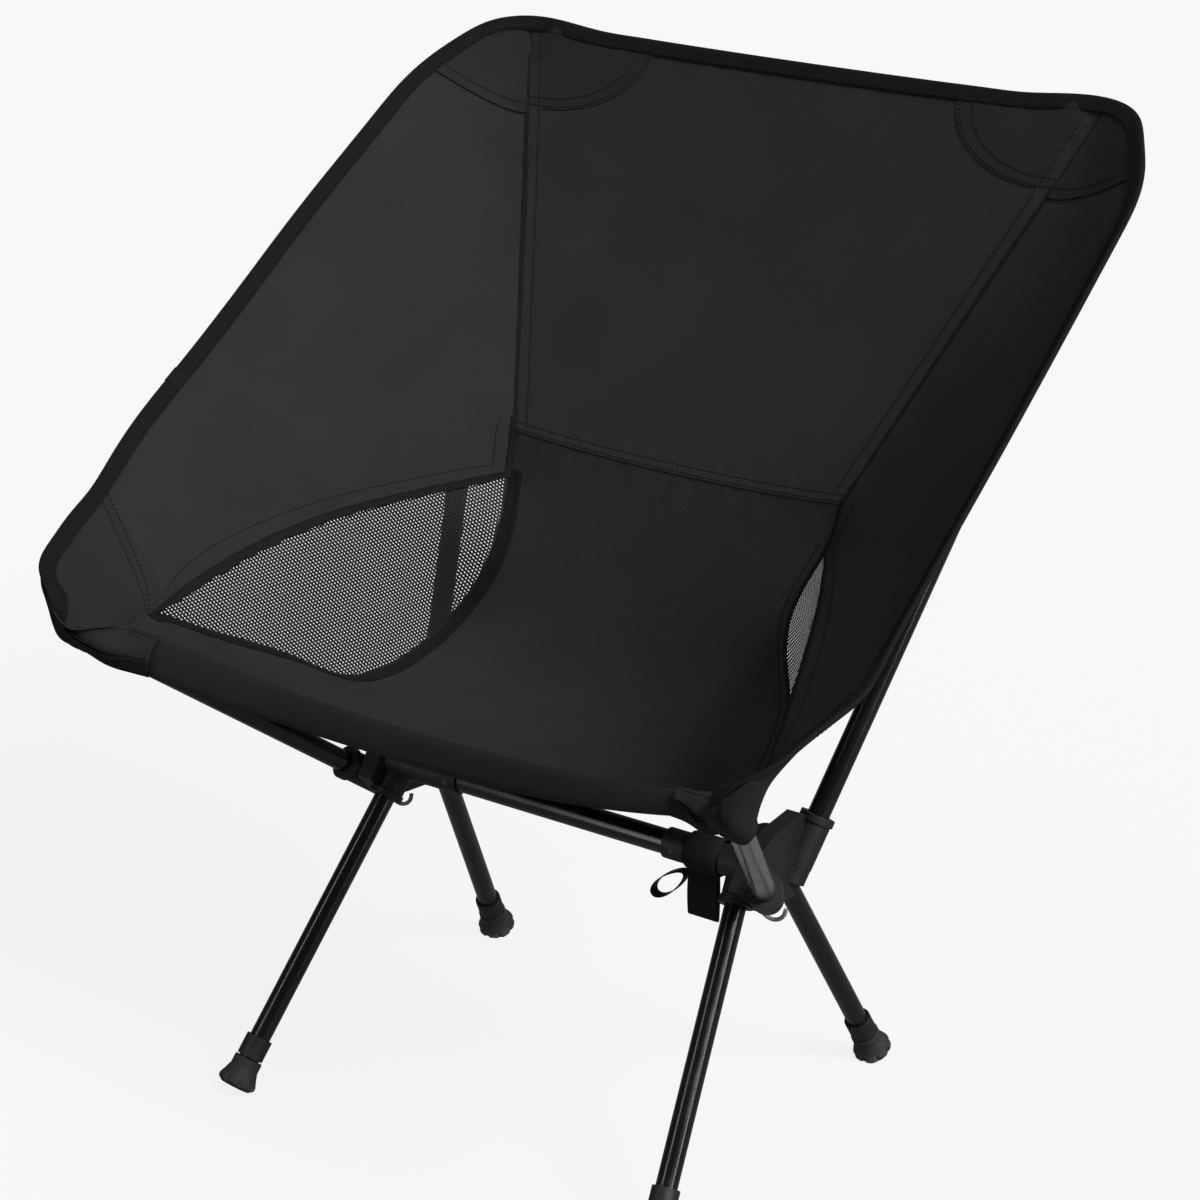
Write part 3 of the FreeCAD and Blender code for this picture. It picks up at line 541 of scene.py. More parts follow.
def weave_height(tree, pitch, ratio):
    """Crossing threads, from the lengths stored in the mesh."""
    lengths = add(tree, "UVMap", uv_map="weave").outputs["UV"]
    split = add(tree, "SeparateXYZ", {0: lengths})
    across = maths(tree, "MULTIPLY", split.outputs[0], math.pi / (pitch * ratio))
    along = maths(tree, "MULTIPLY", split.outputs[1], math.pi / pitch)
    warp = maths(tree, "SINE", across)
    weft = maths(tree, "SINE", along)
    crossing = maths(tree, "MULTIPLY", warp, weft)
    threads = maths(tree, "ADD", maths(tree, "ABSOLUTE", warp), maths(tree, "ABSOLUTE", weft))
    return maths(tree, "MULTIPLY_ADD", crossing, 0.8, threads)


def cloth(name, slot, tone, warm, pitch, roughness, depth, ratio=1.0, sheen=0.0):
    """A woven cloth with uneven dye, fuzz and painted shade in the hollows between its threads, and its
    material slot.
    """
    made, tree = new_material(name)
    place = object_place(tree)
    height = weave_height(tree, pitch, ratio)
    fine = noise(tree, place, 900.0, 2.0)
    dye = ramp(tree, noise(tree, place, 14.0, 4.0), 0.3, 0.7, 0.9, 1.1)
    # Painted shade: the colour is darkened where the weave is low, between the threads.
    weave_shade = ramp(tree, height, -0.6, 2.4, 0.8, 1.15)
    value = maths(tree, "MULTIPLY", maths(tree, "MULTIPLY", dye, weave_shade), 0.5)
    fuzz = maths(tree, "MULTIPLY_ADD", fine, 0.8, height)
    set_surface(
        tree,
        Base_Color=mixed(tree, value, grey(0.0), grey(tone * 2.0, warm)),
        Roughness=ramp(tree, fine, 0.2, 0.8, roughness - 0.06, roughness + 0.06),
        Sheen_Weight=sheen,
        Sheen_Roughness=0.45,
        Specular_IOR_Level=0.2,
        Normal=bump(tree, fuzz, depth),
    )
    return made, slot


def along_axis(tree, place, across_scale, along_scale):
    """Coordinates stretched along each tube's own axis, which its object stores."""
    axis = add(tree, "Attribute", attribute_type="OBJECT", attribute_name="axis")
    axis = axis.outputs["Vector"]
    share = vector_maths(tree, "DOT_PRODUCT", {0: place, 1: axis})["Value"]
    pull = maths(tree, "MULTIPLY", share, across_scale - along_scale)
    less = vector_maths(tree, "SCALE", {0: axis, "Scale": pull})[0]
    wide = vector_maths(tree, "SCALE", {0: place, "Scale": across_scale})[0]
    return vector_maths(tree, "SUBTRACT", {0: wide, 1: less})[0]


def tube_material(name, tone, metallic, roughness, streaks):
    """Drawn tube with fine lengthwise streaks, handling marks and a few pale scuffs."""
    made, tree = new_material(name)
    place = object_place(tree)
    streak = noise(tree, along_axis(tree, place, 900.0, 9.0), 1.0, 3.0)
    smudge = noise(tree, place, 35.0, 4.0)
    scuff = noise(tree, place, 260.0, 2.0, 0.7)
    worn = ramp(tree, scuff, 0.72, 0.78, 0.0, 0.5)
    base = mixed(tree, streak, grey(tone * (1 - streaks)), grey(tone * (1 + streaks)))
    set_surface(
        tree,
        Base_Color=mixed(tree, worn, base, grey(tone * 2.2 + 0.01)),
        Metallic=metallic,
        Roughness=ramp(tree, smudge, 0.3, 0.7, roughness - 0.05, roughness + 0.07),
        Specular_IOR_Level=0.5,
        Normal=bump(tree, streak, 0.03 * MM, 0.35),
    )
    return made


DUST = (0.16, 0.145, 0.12, 1)


def moulded_material(name, tone, roughness, grain, edge_wear_and_highlight, edge=0.5 * MM, dust=0.0):
    """Moulded plastic or rubber: fine spark grain, and rounded edges painted lighter and glossier, partly as
    worn edges and partly as a painted highlight.
    """
    made, tree = new_material(name)
    place = object_place(tree)
    broad = noise(tree, place, 60.0, 4.0)
    soft = add(tree, "Bevel", {"Radius": edge}, samples=6).outputs["Normal"]
    sharp = add(tree, "NewGeometry").outputs["Normal"]
    close = vector_maths(tree, "DOT_PRODUCT", {0: soft, 1: sharp})["Value"]
    # Painted highlight: convex edges get a lighter colour, partly worn rubbing and partly a painted edge
    # highlight.
    worn_and_highlit_edges = ramp(tree, close, 0.995, 0.9, 0.0, edge_wear_and_highlight)
    worn_and_highlit_edges = maths(tree, "MULTIPLY", worn_and_highlit_edges, ramp(tree, broad, 0.35, 0.6, 0.3, 1.0))
    tint = mixed(tree, broad, grey(tone * 0.85), grey(tone * 1.15))
    colour = mixed(tree, worn_and_highlit_edges, tint, grey(tone * 3.0 + 0.01))
    if dust:
        height = add(tree, "SeparateXYZ", {0: place}).outputs[2]
        low = ramp(tree, height, 0.0, 9 * MM, dust, 0.0)
        low = maths(tree, "MULTIPLY", low, ramp(tree, noise(tree, place, 220.0), 0.35, 0.65, 0.0, 1.0))
        colour = mixed(tree, low, colour, DUST)
    rough = ramp(tree, broad, 0.3, 0.7, roughness - 0.05, roughness + 0.05)
    set_surface(
        tree,
        Base_Color=colour,
        Roughness=maths(tree, "SUBTRACT", rough, maths(tree, "MULTIPLY", worn_and_highlit_edges, 0.25)),
        Specular_IOR_Level=0.4,
        Normal=bump(tree, noise(tree, place, 1400.0, 2.0), grain, 0.6, soft),
    )
    return made


SLING = cloth("sling_cloth", "sling_cloth", 0.0151, 0.08, 0.62 * MM, 0.85, 0.07 * MM)
PATCH = cloth("patch_cloth", "sling_cloth", 0.0114, 0.0, 0.62 * MM, 0.82, 0.07 * MM)
TAPE = cloth("binding_tape", "binding_tape", 0.0036, -0.08, 0.9 * MM, 0.8, 0.1 * MM, ratio=0.6)
WEBBING = cloth("strap_webbing", "webbing", 0.006, 0.0, 0.9 * MM, 0.8, 0.12 * MM, ratio=0.7)
RIBBON = cloth("strap_ribbon_cloth", "webbing", 0.006, 0.0, 0.8 * MM, 0.6, 0.06 * MM)
NET = cloth("vent_net_yarn", "vent_mesh", 0.007, -0.1, 0.5 * MM, 0.7, 0.03 * MM)
THREAD = cloth("sewing_thread", "binding_tape", 0.0035, 0.0, 0.4 * MM, 0.7, 0.03 * MM)
STRAP_THREAD = (THREAD[0], "webbing")
CORD = cloth("shock_cord", "shock_cord", 0.2, 0.03, 1.1 * MM, 0.7, 0.12 * MM, sheen=0.05)
BLACK_TUBE = tube_material("black_tube", 0.0035, 0.0, 0.2, 0.35)
SILVER_TUBE = tube_material("bare_aluminium", 0.26, 1.0, 0.26, 0.18)
PIN_STEEL = tube_material("pin_steel", 0.09, 1.0, 0.4, 0.1)
HUB_PLASTIC = moulded_material("hub_plastic", 0.0065, 0.55, 0.02 * MM, 0.5)
NYLON = moulded_material("nylon", 0.014, 0.42, 0.012 * MM, 0.3, 0.3 * MM)
RUBBER = moulded_material("boot_rubber", 0.016, 0.72, 0.03 * MM, 0.35, 0.7 * MM, dust=0.5)


# ---- making pieces
def piece(name, parts, finish, body="frame", stands_for=()):
    """One named object made of parts, riding on a CAD body; finish is a material."""
    points = np.concatenate([p for p, _, _ in parts])
    starts = np.cumsum([0] + [len(p) for p, _, _ in parts[:-1]])
    faces = np.concatenate([f + start for (_, f, _), start in zip(parts, starts)])
    lengths = np.concatenate([u for _, _, u in parts])
    mesh = bpy.data.meshes.new(name)
    mesh.from_pydata(points.tolist(), [], faces.tolist())
    work = bmesh.new()
    work.from_mesh(mesh)
    bmesh.ops.recalc_face_normals(work, faces=work.faces)
    work.to_mesh(mesh)
    work.free()
    corner = np.zeros(len(mesh.loops), np.int32)
    mesh.loops.foreach_get("vertex_index", corner)
    weave = mesh.uv_layers.new(name="weave")
    weave.data.foreach_set("uv", lengths[corner].astype(np.float32).ravel())
    mesh.polygons.foreach_set("use_smooth", np.ones(len(mesh.polygons), bool))
    mesh.set_sharp_from_angle(angle=math.radians(50.0))
    mesh.materials.append(finish[0])
    made = bpy.data.objects.new(name, mesh)
    bpy.context.scene.collection.objects.link(made)
    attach(made, body)
    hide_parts(*stands_for)


def side_piece(side, name, parts, finish, stands_for=()):
    """A piece on one side, made of the right side's parts."""
    made = parts if side == "right" else [mirror(part) for part in parts]
    nodes = ["%s_%s" % (node, side) for node in stands_for]
    piece("%s_%s" % (name, side), made, finish, stands_for=nodes)


def side_pieces(name, parts, finish, stands_for=()):
    """A piece on the right and its mirror image on the left."""
    for side in ("right", "left"):
        side_piece(side, name, parts, finish, stands_for)


# ---- sling panels
def panel(name, down, across):
    """A panel's cloth over rows and columns of shares."""
    return [sheet(on_surface(name, down[:, None], across[None]), CLOTH)]


PANEL_ACROSS = graded(2 * SEAM_TOP[0])
WING_ACROSS = graded(150 * MM)
CORNER_ACROSS = graded(70 * MM)
back_down = graded(np.linalg.norm(SEAM_FOOT - SEAM_TOP))
piece("sling_back", panel("back", back_down, PANEL_ACROSS), SLING, stands_for=["back_panel"])
seat_down = graded(curve_length(seat_side))
piece("sling_seat", panel("seat", seat_down, PANEL_ACROSS), SLING, stands_for=["seat_panel"])
wing_down = graded(curve_length(wing_outer, 0, WING_END)) * WING_SHARE
side_pieces("sling_wing", panel("wing", wing_down, WING_ACROSS), SLING, ["wing"])
corner_down = WING_SHARE + graded(curve_length(wing_outer, WING_END, LAST_STATION)) * (1 - WING_SHARE)
side_pieces("sling_corner", panel("wing", corner_down, CORNER_ACROSS), PATCH, ["front_corner"])

# ---- seams between panels
# An edge is (panel, shares along the edge, where it lies across them, order of the two shares).
DOWN_FIRST, ACROSS_FIRST = 1, -1


def inward_line(edge, offsets):
    """Rows of shares that run beside a panel's edge at the given distances from it."""
    panel_name, lines, place, order = edge
    step = 0.01 if place == 0 else -0.01
    near = on_surface(panel_name, *(lines, np.full_like(lines, place))[::order])
    far = on_surface(panel_name, *(lines, np.full_like(lines, place + step))[::order])
    rate = step / np.linalg.norm(far - near, axis=1)
    shares = place + rate[:, None] * offsets
    return (np.broadcast_to(lines[:, None], shares.shape), shares)[::order]


def lap_strip(edge, steps, lift=LIFT):
    """A second layer along a panel's edge, with its rows at steps in millimetres."""
    places = inward_line(edge, np.array(steps) * MM)
    return sheet(facing(on_surface(edge[0], *places), normal_on(edge[0], *places)), LAYER, lift)


def lap_stitches(edge, distance, lift=ON_LAYER):
    """A row of stitches at a distance in millimetres from a panel's edge."""
    down, across = inward_line(edge, distance * MM)
    return stitch_line(edge[0], down[:, 0], across[:, 0], lift)


def welt(path, up, width, thickness, lift):
    """A narrow sewn ridge along a seam."""
    side = unit(np.cross(up, directions(path)))
    return swept(path + up * lift, side, up, flat_section(width, thickness))


LAP_STEPS = (0.8, 2.0, 4.0, 6.5, 9.0, 10.4, 11.0)  # the allowance turned over the back panel
seam_lines = np.linspace(0.0, 1.0, 110)
back_seam = ("back", seam_lines, 1.0, DOWN_FIRST)
side_pieces("seam_lap", [lap_strip(back_seam, LAP_STEPS)], SLING)

wing_lines = np.clip((seam_lines - WING_START) / (1 - WING_START), 0, 1) * SEAM_SHARE
seam_up = normal_on("back", seam_lines, np.ones_like(seam_lines))
seam_up = unit(seam_up + normal_on("wing", wing_lines, np.zeros_like(seam_lines)))
# Painted shade: a dark ridge of binding tape laid in the seam's groove stands in for the shade of the groove
# and its thread.
seam_shade_welt = welt(straight(SEAM_TOP, SEAM_FOOT)(seam_lines), seam_up, 4.2 * MM, 1.4 * MM, 0.7 * MM)
behind_tape = lap_strip(back_seam, LAP_STEPS, -LIFT)
side_pieces("seam_shade_welt", [seam_shade_welt, behind_tape], TAPE)

# The seat is sewn to the back with a lapped double row.
seat_seam = ("back", np.linspace(0.004, 0.996, 150), 1.0, ACROSS_FIRST)
piece("seat_seam_lap", [lap_strip(seat_seam, (-0.6, 0.4, 2.0, 4.0, 6.0, 7.2, 7.8))], SLING)
piece("seat_seam_stitches", lap_stitches(seat_seam, 1.2) + lap_stitches(seat_seam, 6.2), THREAD)

# ---- corner patches at the top
PATCH_DOWN = 0.215  # depth of a patch along the back seam, as a share of the seam
PATCH_ACROSS = 0.235  # its width along the top edge, as a share of the back's width
PATCH_WING_SEAM = 0.066  # its depth on the wing at the seam and at the outer edge
PATCH_WING_EDGE = 0.122
PATCH_ROWS = (0.975, 0.885)  # rows of stitches round a patch, as shares of its reach


def patch_on_back(reach, turn):
    """Shares on the back panel of a patch point: reach from the corner, turn from the seam."""
    return PATCH_DOWN * reach * np.cos(turn), 1 - PATCH_ACROSS * reach * np.sin(turn)


def patch_on_wing(reach, across):
    """Shares on the wing of a patch point at a share across the wing."""
    depth = PATCH_WING_SEAM + (PATCH_WING_EDGE - PATCH_WING_SEAM) * across**0.8
    return depth * reach, across + 0 * reach


back_places = patch_on_back(np.linspace(0.02, 1.0, 32)[:, None], np.linspace(0, math.pi / 2, 44)[None])
wing_places = patch_on_wing(np.linspace(0.02, 1.0, 26)[:, None], np.linspace(0.01, 0.99, 40)[None])
towards_sitter = normal_on("back", np.array([0.1]), np.array([0.9]))[0]
patches = [on_surface("back", *back_places), on_surface("wing", *wing_places)]
side_pieces("corner_patch", [sheet(facing(grid, towards_sitter), LAYER, LIFT) for grid in patches], PATCH)

stitched = []
across_line = np.linspace(0.02, 0.94, 80)
for share in PATCH_ROWS:
    stitched += stitch_line("back", *patch_on_back(share, np.linspace(0, math.pi / 2, 90)), ON_LAYER)
    depth, _ = patch_on_wing(1.0, across_line)
    depth = depth - (PATCH_ROWS[0] - share) * PATCH_WING_EDGE
    stitched += stitch_line("wing", depth, across_line, ON_LAYER)
stitched += lap_stitches(back_seam, LAP_STEPS[-1] - 1.6)
side_pieces("patch_stitches", stitched, THREAD)

# ---- mesh vents
NET_PITCH = 2.5 * MM
NET_ROW = NET_PITCH * math.sqrt(3) / 2
NET_HOLE = 0.385  # a hole's size as a share of its cell
NET_STRETCH = 1.5  # how much longer a hole is along its slant than it is wide
NET_SLANT = math.radians(60)
NET_YARN = 0.06 * MM
NET_SNAP = 0.05 * MM  # cell corners closer than this are one corner


def inside(x, y, outline):
    """Which points lie inside a closed flat outline."""
    found = np.zeros(len(x), bool)
    for (x1, y1), (x2, y2) in zip(outline, np.roll(outline, -1, axis=0)):
        crosses = (y1 > y) != (y2 > y)
        if crosses.any():
            found ^= crosses & (x < (x2 - x1) * (y - y1) / (y2 - y1 + 1e-12) + x1)
    return found


def net_cells(outline):
    """The corners of the net's six-sided cells inside a flat outline, and of their holes."""
    low, high = outline.min(axis=0), outline.max(axis=0)
    columns, rows = ((high - low) / (NET_PITCH, NET_ROW)).astype(int) + 2
    column, row = np.meshgrid(np.arange(columns), np.arange(rows))
    middle = columns_of(low[0] + (column + 0.5 * (row % 2)) * NET_PITCH, low[1] + row * NET_ROW)
    middle = middle[inside(*middle.T, outline)][:, None]
    turn = (np.arange(6) + 0.5) * math.pi / 3
    rim = columns_of(np.cos(turn), np.sin(turn)) * NET_PITCH / math.sqrt(3)
    slant = np.array([math.cos(NET_SLANT), math.sin(NET_SLANT)])
    longer = rim @ slant[:, None] * slant * (NET_STRETCH - 1 / NET_STRETCH)
    hole = middle + (rim / NET_STRETCH + longer) * NET_HOLE
    return (middle + rim).reshape(-1, 2), hole.reshape(-1, 2)


def draped(places, centre, axes, surface):
    """Points of a flat frame dropped along its normal onto a grid."""
    corners = [Vector(p) for p in surface.reshape(-1, 3)]
    tree = BVHTree.FromPolygons(corners, grid_quads(surface).tolist())
    normal = Vector(axes[2])
    dropped = []
    for place in places:
        start = Vector(centre + place @ axes[:2])
        hit = tree.ray_cast(start + normal, -normal)
        dropped.append(hit[0] or tree.find_nearest(start)[0])
    return np.array(dropped)


def vent_net():
    """A net of real holes laid over the vent between its two rails."""
    share = np.linspace(0, 1, 90)
    top, bottom = vent_top(share), vent_bottom(share)
    slope = np.linspace(-0.08, 1.08, 14)[None, :, None]
    ruled = top[:, None] + (bottom - top)[:, None] * slope
    centre = ruled.reshape(-1, 3).mean(axis=0)
    axes = np.linalg.svd(ruled.reshape(-1, 3) - centre, full_matrices=False)[2]
    outline = (np.concatenate([top, bottom[::-1]]) - centre) @ axes[:2].T
    rims, holes = net_cells(outline)
    keys, shared = np.unique(np.round(rims / NET_SNAP).astype(int), axis=0, return_inverse=True)
    plane = np.concatenate([keys * NET_SNAP, holes])
    rim = shared.reshape(-1, 6)
    hole = np.arange(rim.size).reshape(-1, 6) + len(keys)
    faces = columns_of(rim, np.roll(rim, -1, axis=1), np.roll(hole, -1, axis=1), hole)
    return thickened(draped(plane, centre, axes, ruled), axes[2] * NET_YARN / 2, faces, plane)


side_pieces("vent_net", [vent_net()], NET, ["vent"])

# Dark tape covers the net's raw edge along both rails.
upper_lines = np.linspace(SEAM_SHARE - 0.01, WING_SHARE + 0.004, 130)
vent_upper = ("wing", upper_lines, 0.0, DOWN_FIRST)
vent_lower = ("seat", np.linspace(VENT_FOOT - 0.01, VENT_HEAD + 0.01, 130), 1.0, DOWN_FIRST)
VENT_TAPES = (
    # side, steps across the upper tape, steps across the lower tape, in millimetres
    ("left", (-3.0, -1.4, 0.0, 2.0, 3.6, 4.6), (-3.2, -1.4, 0.0, 3.0, 6.5, 9.5)),
    ("right", (-1.0, -0.5, 0.0, 0.5, 1.0, 1.5), (-1.0, -0.5, 0.0, 0.6, 1.2, 1.8)),
)
for side, upper_steps, lower_steps in VENT_TAPES:
    tapes = [lap_strip(vent_upper, upper_steps), lap_strip(vent_lower, lower_steps)]
    side_piece(side, "vent_tape", tapes, TAPE)

vent_stitches = lap_stitches(vent_upper, 3.8)
vent_stitches += lap_stitches(("wing", upper_lines[4:-4], 0.0, DOWN_FIRST), 15.5, CLOTH / 2)
vent_stitches += lap_stitches(vent_lower, 7.0)
corner_line = np.linspace(0.02, 0.95, 60)
for start in (0.748, 0.761):
    # The double row on the corner's seam slants forward towards the outer edge.
    vent_stitches += stitch_line("wing", start - 0.033 * corner_line, corner_line, CLOTH / 2)
side_pieces("vent_stitches", vent_stitches, THREAD)


# ---- front walls round the pole tips
def tube_axis(node):
    """The two ends of a straight round part's axis."""
    points = np.array([v.co for v in NODES[node].data.vertices])
    centre = (points.min(axis=0) + points.max(axis=0)) / 2
    axis = np.linalg.svd(points - points.mean(axis=0), full_matrices=False)[2][0]
    axis = axis * np.sign(axis[2])
    reach = (points - centre) @ axis
    return centre + axis * reach.min(), centre + axis * reach.max()


CAP_LENGTH = 12 * MM  # the rounded cap beyond a pole's end
pole_low, pole_high = tube_axis("front_pole_right")
POLE_AXIS = unit(pole_high - pole_low)
POLE_TIP = pole_high + POLE_AXIS * CAP_LENGTH
POLE_INWARD = unit(np.array([POLE_AXIS[1], -POLE_AXIS[0], 0.0]))
POLE_BELOW = np.cross(POLE_AXIS, POLE_INWARD)
HEM_RISE = {"left": 0.0, "right": 15.0}  # millimetres by which the hem's end is pulled up


def by_pole(along, inward, below):
    """A point in millimetres from the front pole's tip: along the pole, inwards and below it."""
    return POLE_TIP + (POLE_AXIS * along + POLE_INWARD * inward + POLE_BELOW * below) * MM


def wall_frame(side):
    """Rows of points from the sling's front edge down to the pocket's mouth, hem to outer side."""
    rise = HEM_RISE[side]
    low = 1 - rise / 30
    columns = [
        [at(199, -170.5, 340), at(201, -177, 330 + rise * 0.35),
         at(201, -180, 321 + rise * 0.6), at(201, -180, 314 + rise * 0.8)],
        [at(213, -172, 341), at(214, -182, 331 + rise * 0.3),
         at(215, -184.5, 322 + rise * 0.6), at(215, -184, 316 + rise * 0.75)],
        [at(224, -172.5, 341.5), at(229, -191, 335 + rise * 0.1),
         at(230, -191.5, 326 + rise * 0.35), at(229, -188, 319 + rise * 0.5)],
        [at(232, -191, 345.5), by_pole(-4, 11.5 + 2 * low, 0),
         by_pole(-12, 10.5, 7.5 * low), by_pole(-22, 9.4, 9 * low)],
        [at(240, -210, 349.5), by_pole(1, 10, 4 * low),
         by_pole(-9, 9, 1 + 8 * low), by_pole(-22, 13.5 - 9 * low, 0.8 + 9.4 * low)],
        [CORNER_FRONT, by_pole(6, 3, 3.5), by_pole(-6, 1.5, 10.5), by_pole(-22, -2.5, 9.8)],
        [at(266, -206, 373), by_pole(7, -5, -2.5), by_pole(-5, -7, 7.5), by_pole(-22, -7.8, 6.2)],
        [at(276, -190, 383), at(267.5, -192, 365), by_pole(-5, -11, -1), by_pole(-22, -10.1, 0)],
        [at(284, -172, 391), at(267.5, -180.5, 366), by_pole(-6, -12, -8), by_pole(-22, -8.2, -6.2)],
    ]
    return np.array(columns).swapaxes(0, 1)


def wall_ridge(wall, down, across, width, thickness, lift):
    """A sewn ridge along a line of shares on a front wall, with sizes in millimetres."""
    places = np.broadcast_arrays(down, across)
    return welt(on_surface(wall, *places), normal_on(wall, *places), width * MM, thickness * MM, lift * MM)


for side in ("left", "right"):
    wall = "wall_" + side
    grid = sample(wall_frame(side), np.linspace(0, 1, 34)[:, None], np.linspace(0, 1, 90)[None])
    outwards = normals_of(grid)
    outwards = outwards * -np.sign(outwards[16, 20, 1])
    SURFACES[wall] = (grid, outwards)
    side_seam = wall_ridge(wall, np.linspace(0.02, 0.97, 30), 0.012, 3.0, 1.0, 0.5)
    top_fold = wall_ridge(wall, 0.03, np.linspace(0.02, 0.5, 60), 2.2, 0.9, 0.5)
    mouth_rim = wall_ridge(wall, 0.995, np.linspace(0.34, 1.0, 60), 3.2, 1.8, 0.2)
    side_piece(side, "front_wall", [sheet(facing(grid, outwards), CLOTH), side_seam, top_fold], PATCH)
    side_piece(side, "pocket_rim", [mouth_rim], TAPE)

# The binding leaves the corner's outer edge here and follows the wall down to the hem.
corner_shares = np.linspace(WING_SHARE, 1, 400)
from_front = on_surface("wing", corner_shares, np.ones(400)) - CORNER_FRONT
TAPE_LEAVES = corner_shares[np.argmin(np.linalg.norm(from_front, axis=1))]
# Its course as shares down and across the wall.
WALL_COURSE = (
    (0.955, 0.0), (0.955, 0.125), (0.955, 0.25), (0.94, 0.37), (0.72, 0.49), (0.4, 0.57), (0.06, 0.62),
)
wall_course = curve_through([(down, across, 0.0) for down, across in WALL_COURSE])


def front_chain(side):
    """The binding's points, inward directions and normals on a wall, from hem to corner."""
    down, across, _ = wall_course(np.linspace(0, 1, 40)).T
    points = on_surface("wall_" + side, down, across)
    up = normal_on("wall_" + side, down, across)
    return [points, unit(np.cross(up, directions(points))), up]


# ---- binding round the whole edge
# Half of the folded tape's section in millimetres: outer face, then inner face.
TAPE_OUTER = (
    (10.6, 0.95), (10.3, 1.35), (7.5, 1.6), (4.0, 1.75), (1.6, 1.8), (0.2, 1.65), (-0.8, 1.2), (-1.3, 0.45),
)
TAPE_INNER = ((0.8, 0.5), (4.0, 0.6), (10.0, 0.55))
outer_face, inner_face = np.array(TAPE_OUTER) * MM, np.array(TAPE_INNER) * MM
other_half = np.concatenate([outer_face[::-1], inner_face[::-1]]) * (1, -1)
tape_profile = np.concatenate([outer_face, other_half, inner_face])


def edge_chain(name, down, across, step_down, step_across):
    """Edge points of a panel with their inward directions and normals."""
    points = on_surface(name, down, across)
    inward = unit(on_surface(name, down + step_down, across + step_across) - points)
    return [points, inward, normal_on(name, down, across)]


def rounded(span):
    """A few points of a span of the edge, for a smooth curve to pass through."""
    length = lengths_along(span)
    return read_line(np.linspace(0, length[-1], int(length[-1] / (27 * MM)) + 1), length, span)


def smoothed(line):
    """A line of vectors averaged with their neighbours."""
    kernel = np.hanning(17)[1:-1]
    padded = np.concatenate([line[:1].repeat(7, 0), line, line[-1:].repeat(7, 0)])
    return np.stack([np.convolve(column, kernel / kernel.sum(), "valid") for column in padded.T], axis=1)


def edge_line():
    """Edge points, inward directions and normals, round the sling from hem to hem."""
    share = np.linspace(TAPE_LEAVES, 0, 240)
    side = edge_chain("wing", share, np.ones_like(share), 0, -0.03)
    share = np.linspace(1, 0, 160)[2:-2]
    top = edge_chain("back", np.zeros_like(share), share, 0.02, 0)
    right, left = front_chain("right"), front_chain("left")
    chain = []
    for k in range(3):
        stretches = [right[k], side[k], top[k], side[k][::-1] * FLIP, left[k][::-1] * FLIP]
        chain.append(np.concatenate(stretches))
    corner = (side[0][-1] + top[0][0]) / 2 + np.array([0, 0, 0.8]) * MM
    above = np.concatenate([rounded(side[0])[:-1], corner[None]])
    knots = [right[0][:-2:4], above, rounded(top[0])[1:-1], (above * FLIP)[::-1]]
    knots = np.concatenate(knots + [(left[0][:-2:4] * FLIP)[::-1]])
    path, want = evenly(cubic(lengths_along(knots), knots), 3.0 * MM)
    length = lengths_along(chain[0])
    want = want / want[-1] * length[-1]
    inward, up = (smoothed(read_line(want, length, vectors)) for vectors in chain[1:])
    ahead = directions(path)
    inward = unit(inward - ahead * np.sum(inward * ahead, axis=1, keepdims=True))
    square = np.cross(ahead, inward)
    return path, inward, square * np.sign(np.sum(square * up, axis=1))[:, None]


STITCH_INSET = 8.8 * MM  # the binding's stitches, from the edge and off the cloth
STITCH_RISE = 1.5 * MM
edge_path, edge_inward, edge_up = edge_line()
tape_nodes = ["edge_binding_left", "top_binding", "edge_binding_right"]
binding = swept(edge_path, edge_inward, edge_up, tape_profile)
piece("edge_tape", [binding], TAPE, stands_for=tape_nodes)
binding_stitches = []
for face in (1, -1):
    row = edge_path + edge_inward * STITCH_INSET + edge_up * face * STITCH_RISE
    binding_stitches += stitch_row(row, edge_up * face)
piece("edge_stitches", binding_stitches, THREAD)

# The tape's two ends overlap on the left edge.
joint = int(np.argmin(np.linalg.norm(edge_path - at(-293, -39, 462), axis=1)))
overlap = slice(joint - 2, joint + 3)
wider = tape_profile * (1.0, 1.25) + np.array([-0.5, 0]) * MM
joint_part = swept(edge_path[overlap], edge_inward[overlap], edge_up[overlap], wider)
piece("edge_tape_joint", [joint_part], TAPE)


# ---- front hem
# Offsets of the hem's section: back along the seat, off the seat, down the front, off the front.
HEM_SECTION = (
    (12.0, 0.55, 0.0, 0.0), (10.5, 1.0, 0.0, 0.0), (5.0, 1.2, 0.0, 0.0), (1.5, 1.2, 0.0, 0.3),
    (0.0, 1.0, 0.0, 1.1), (0.0, 0.3, 1.4, 1.7), (0.0, 0.0, 5.0, 2.1), (0.0, 0.0, 10.5, 2.2),
    (0.0, 0.0, 16.0, 1.7), (0.0, 0.0, 19.6, 0.9), (0.0, 0.0, 20.6, 0.0), (0.0, 0.0, 19.8, -0.8),
    (0.0, 0.0, 16.0, -0.7), (0.0, 0.0, 10.0, -0.2), (0.0, 0.0, 5.0, 0.0), (0.6, -0.5, 2.0, -0.2),
    (3.5, -0.6, 0.0, 0.0), (12.0, -0.5, 0.0, 0.0),
)
HEM_FALL = 20.6 * MM  # the section's lowest point
HEM_END = 0.047  # share of the width at each end where the front walls take over


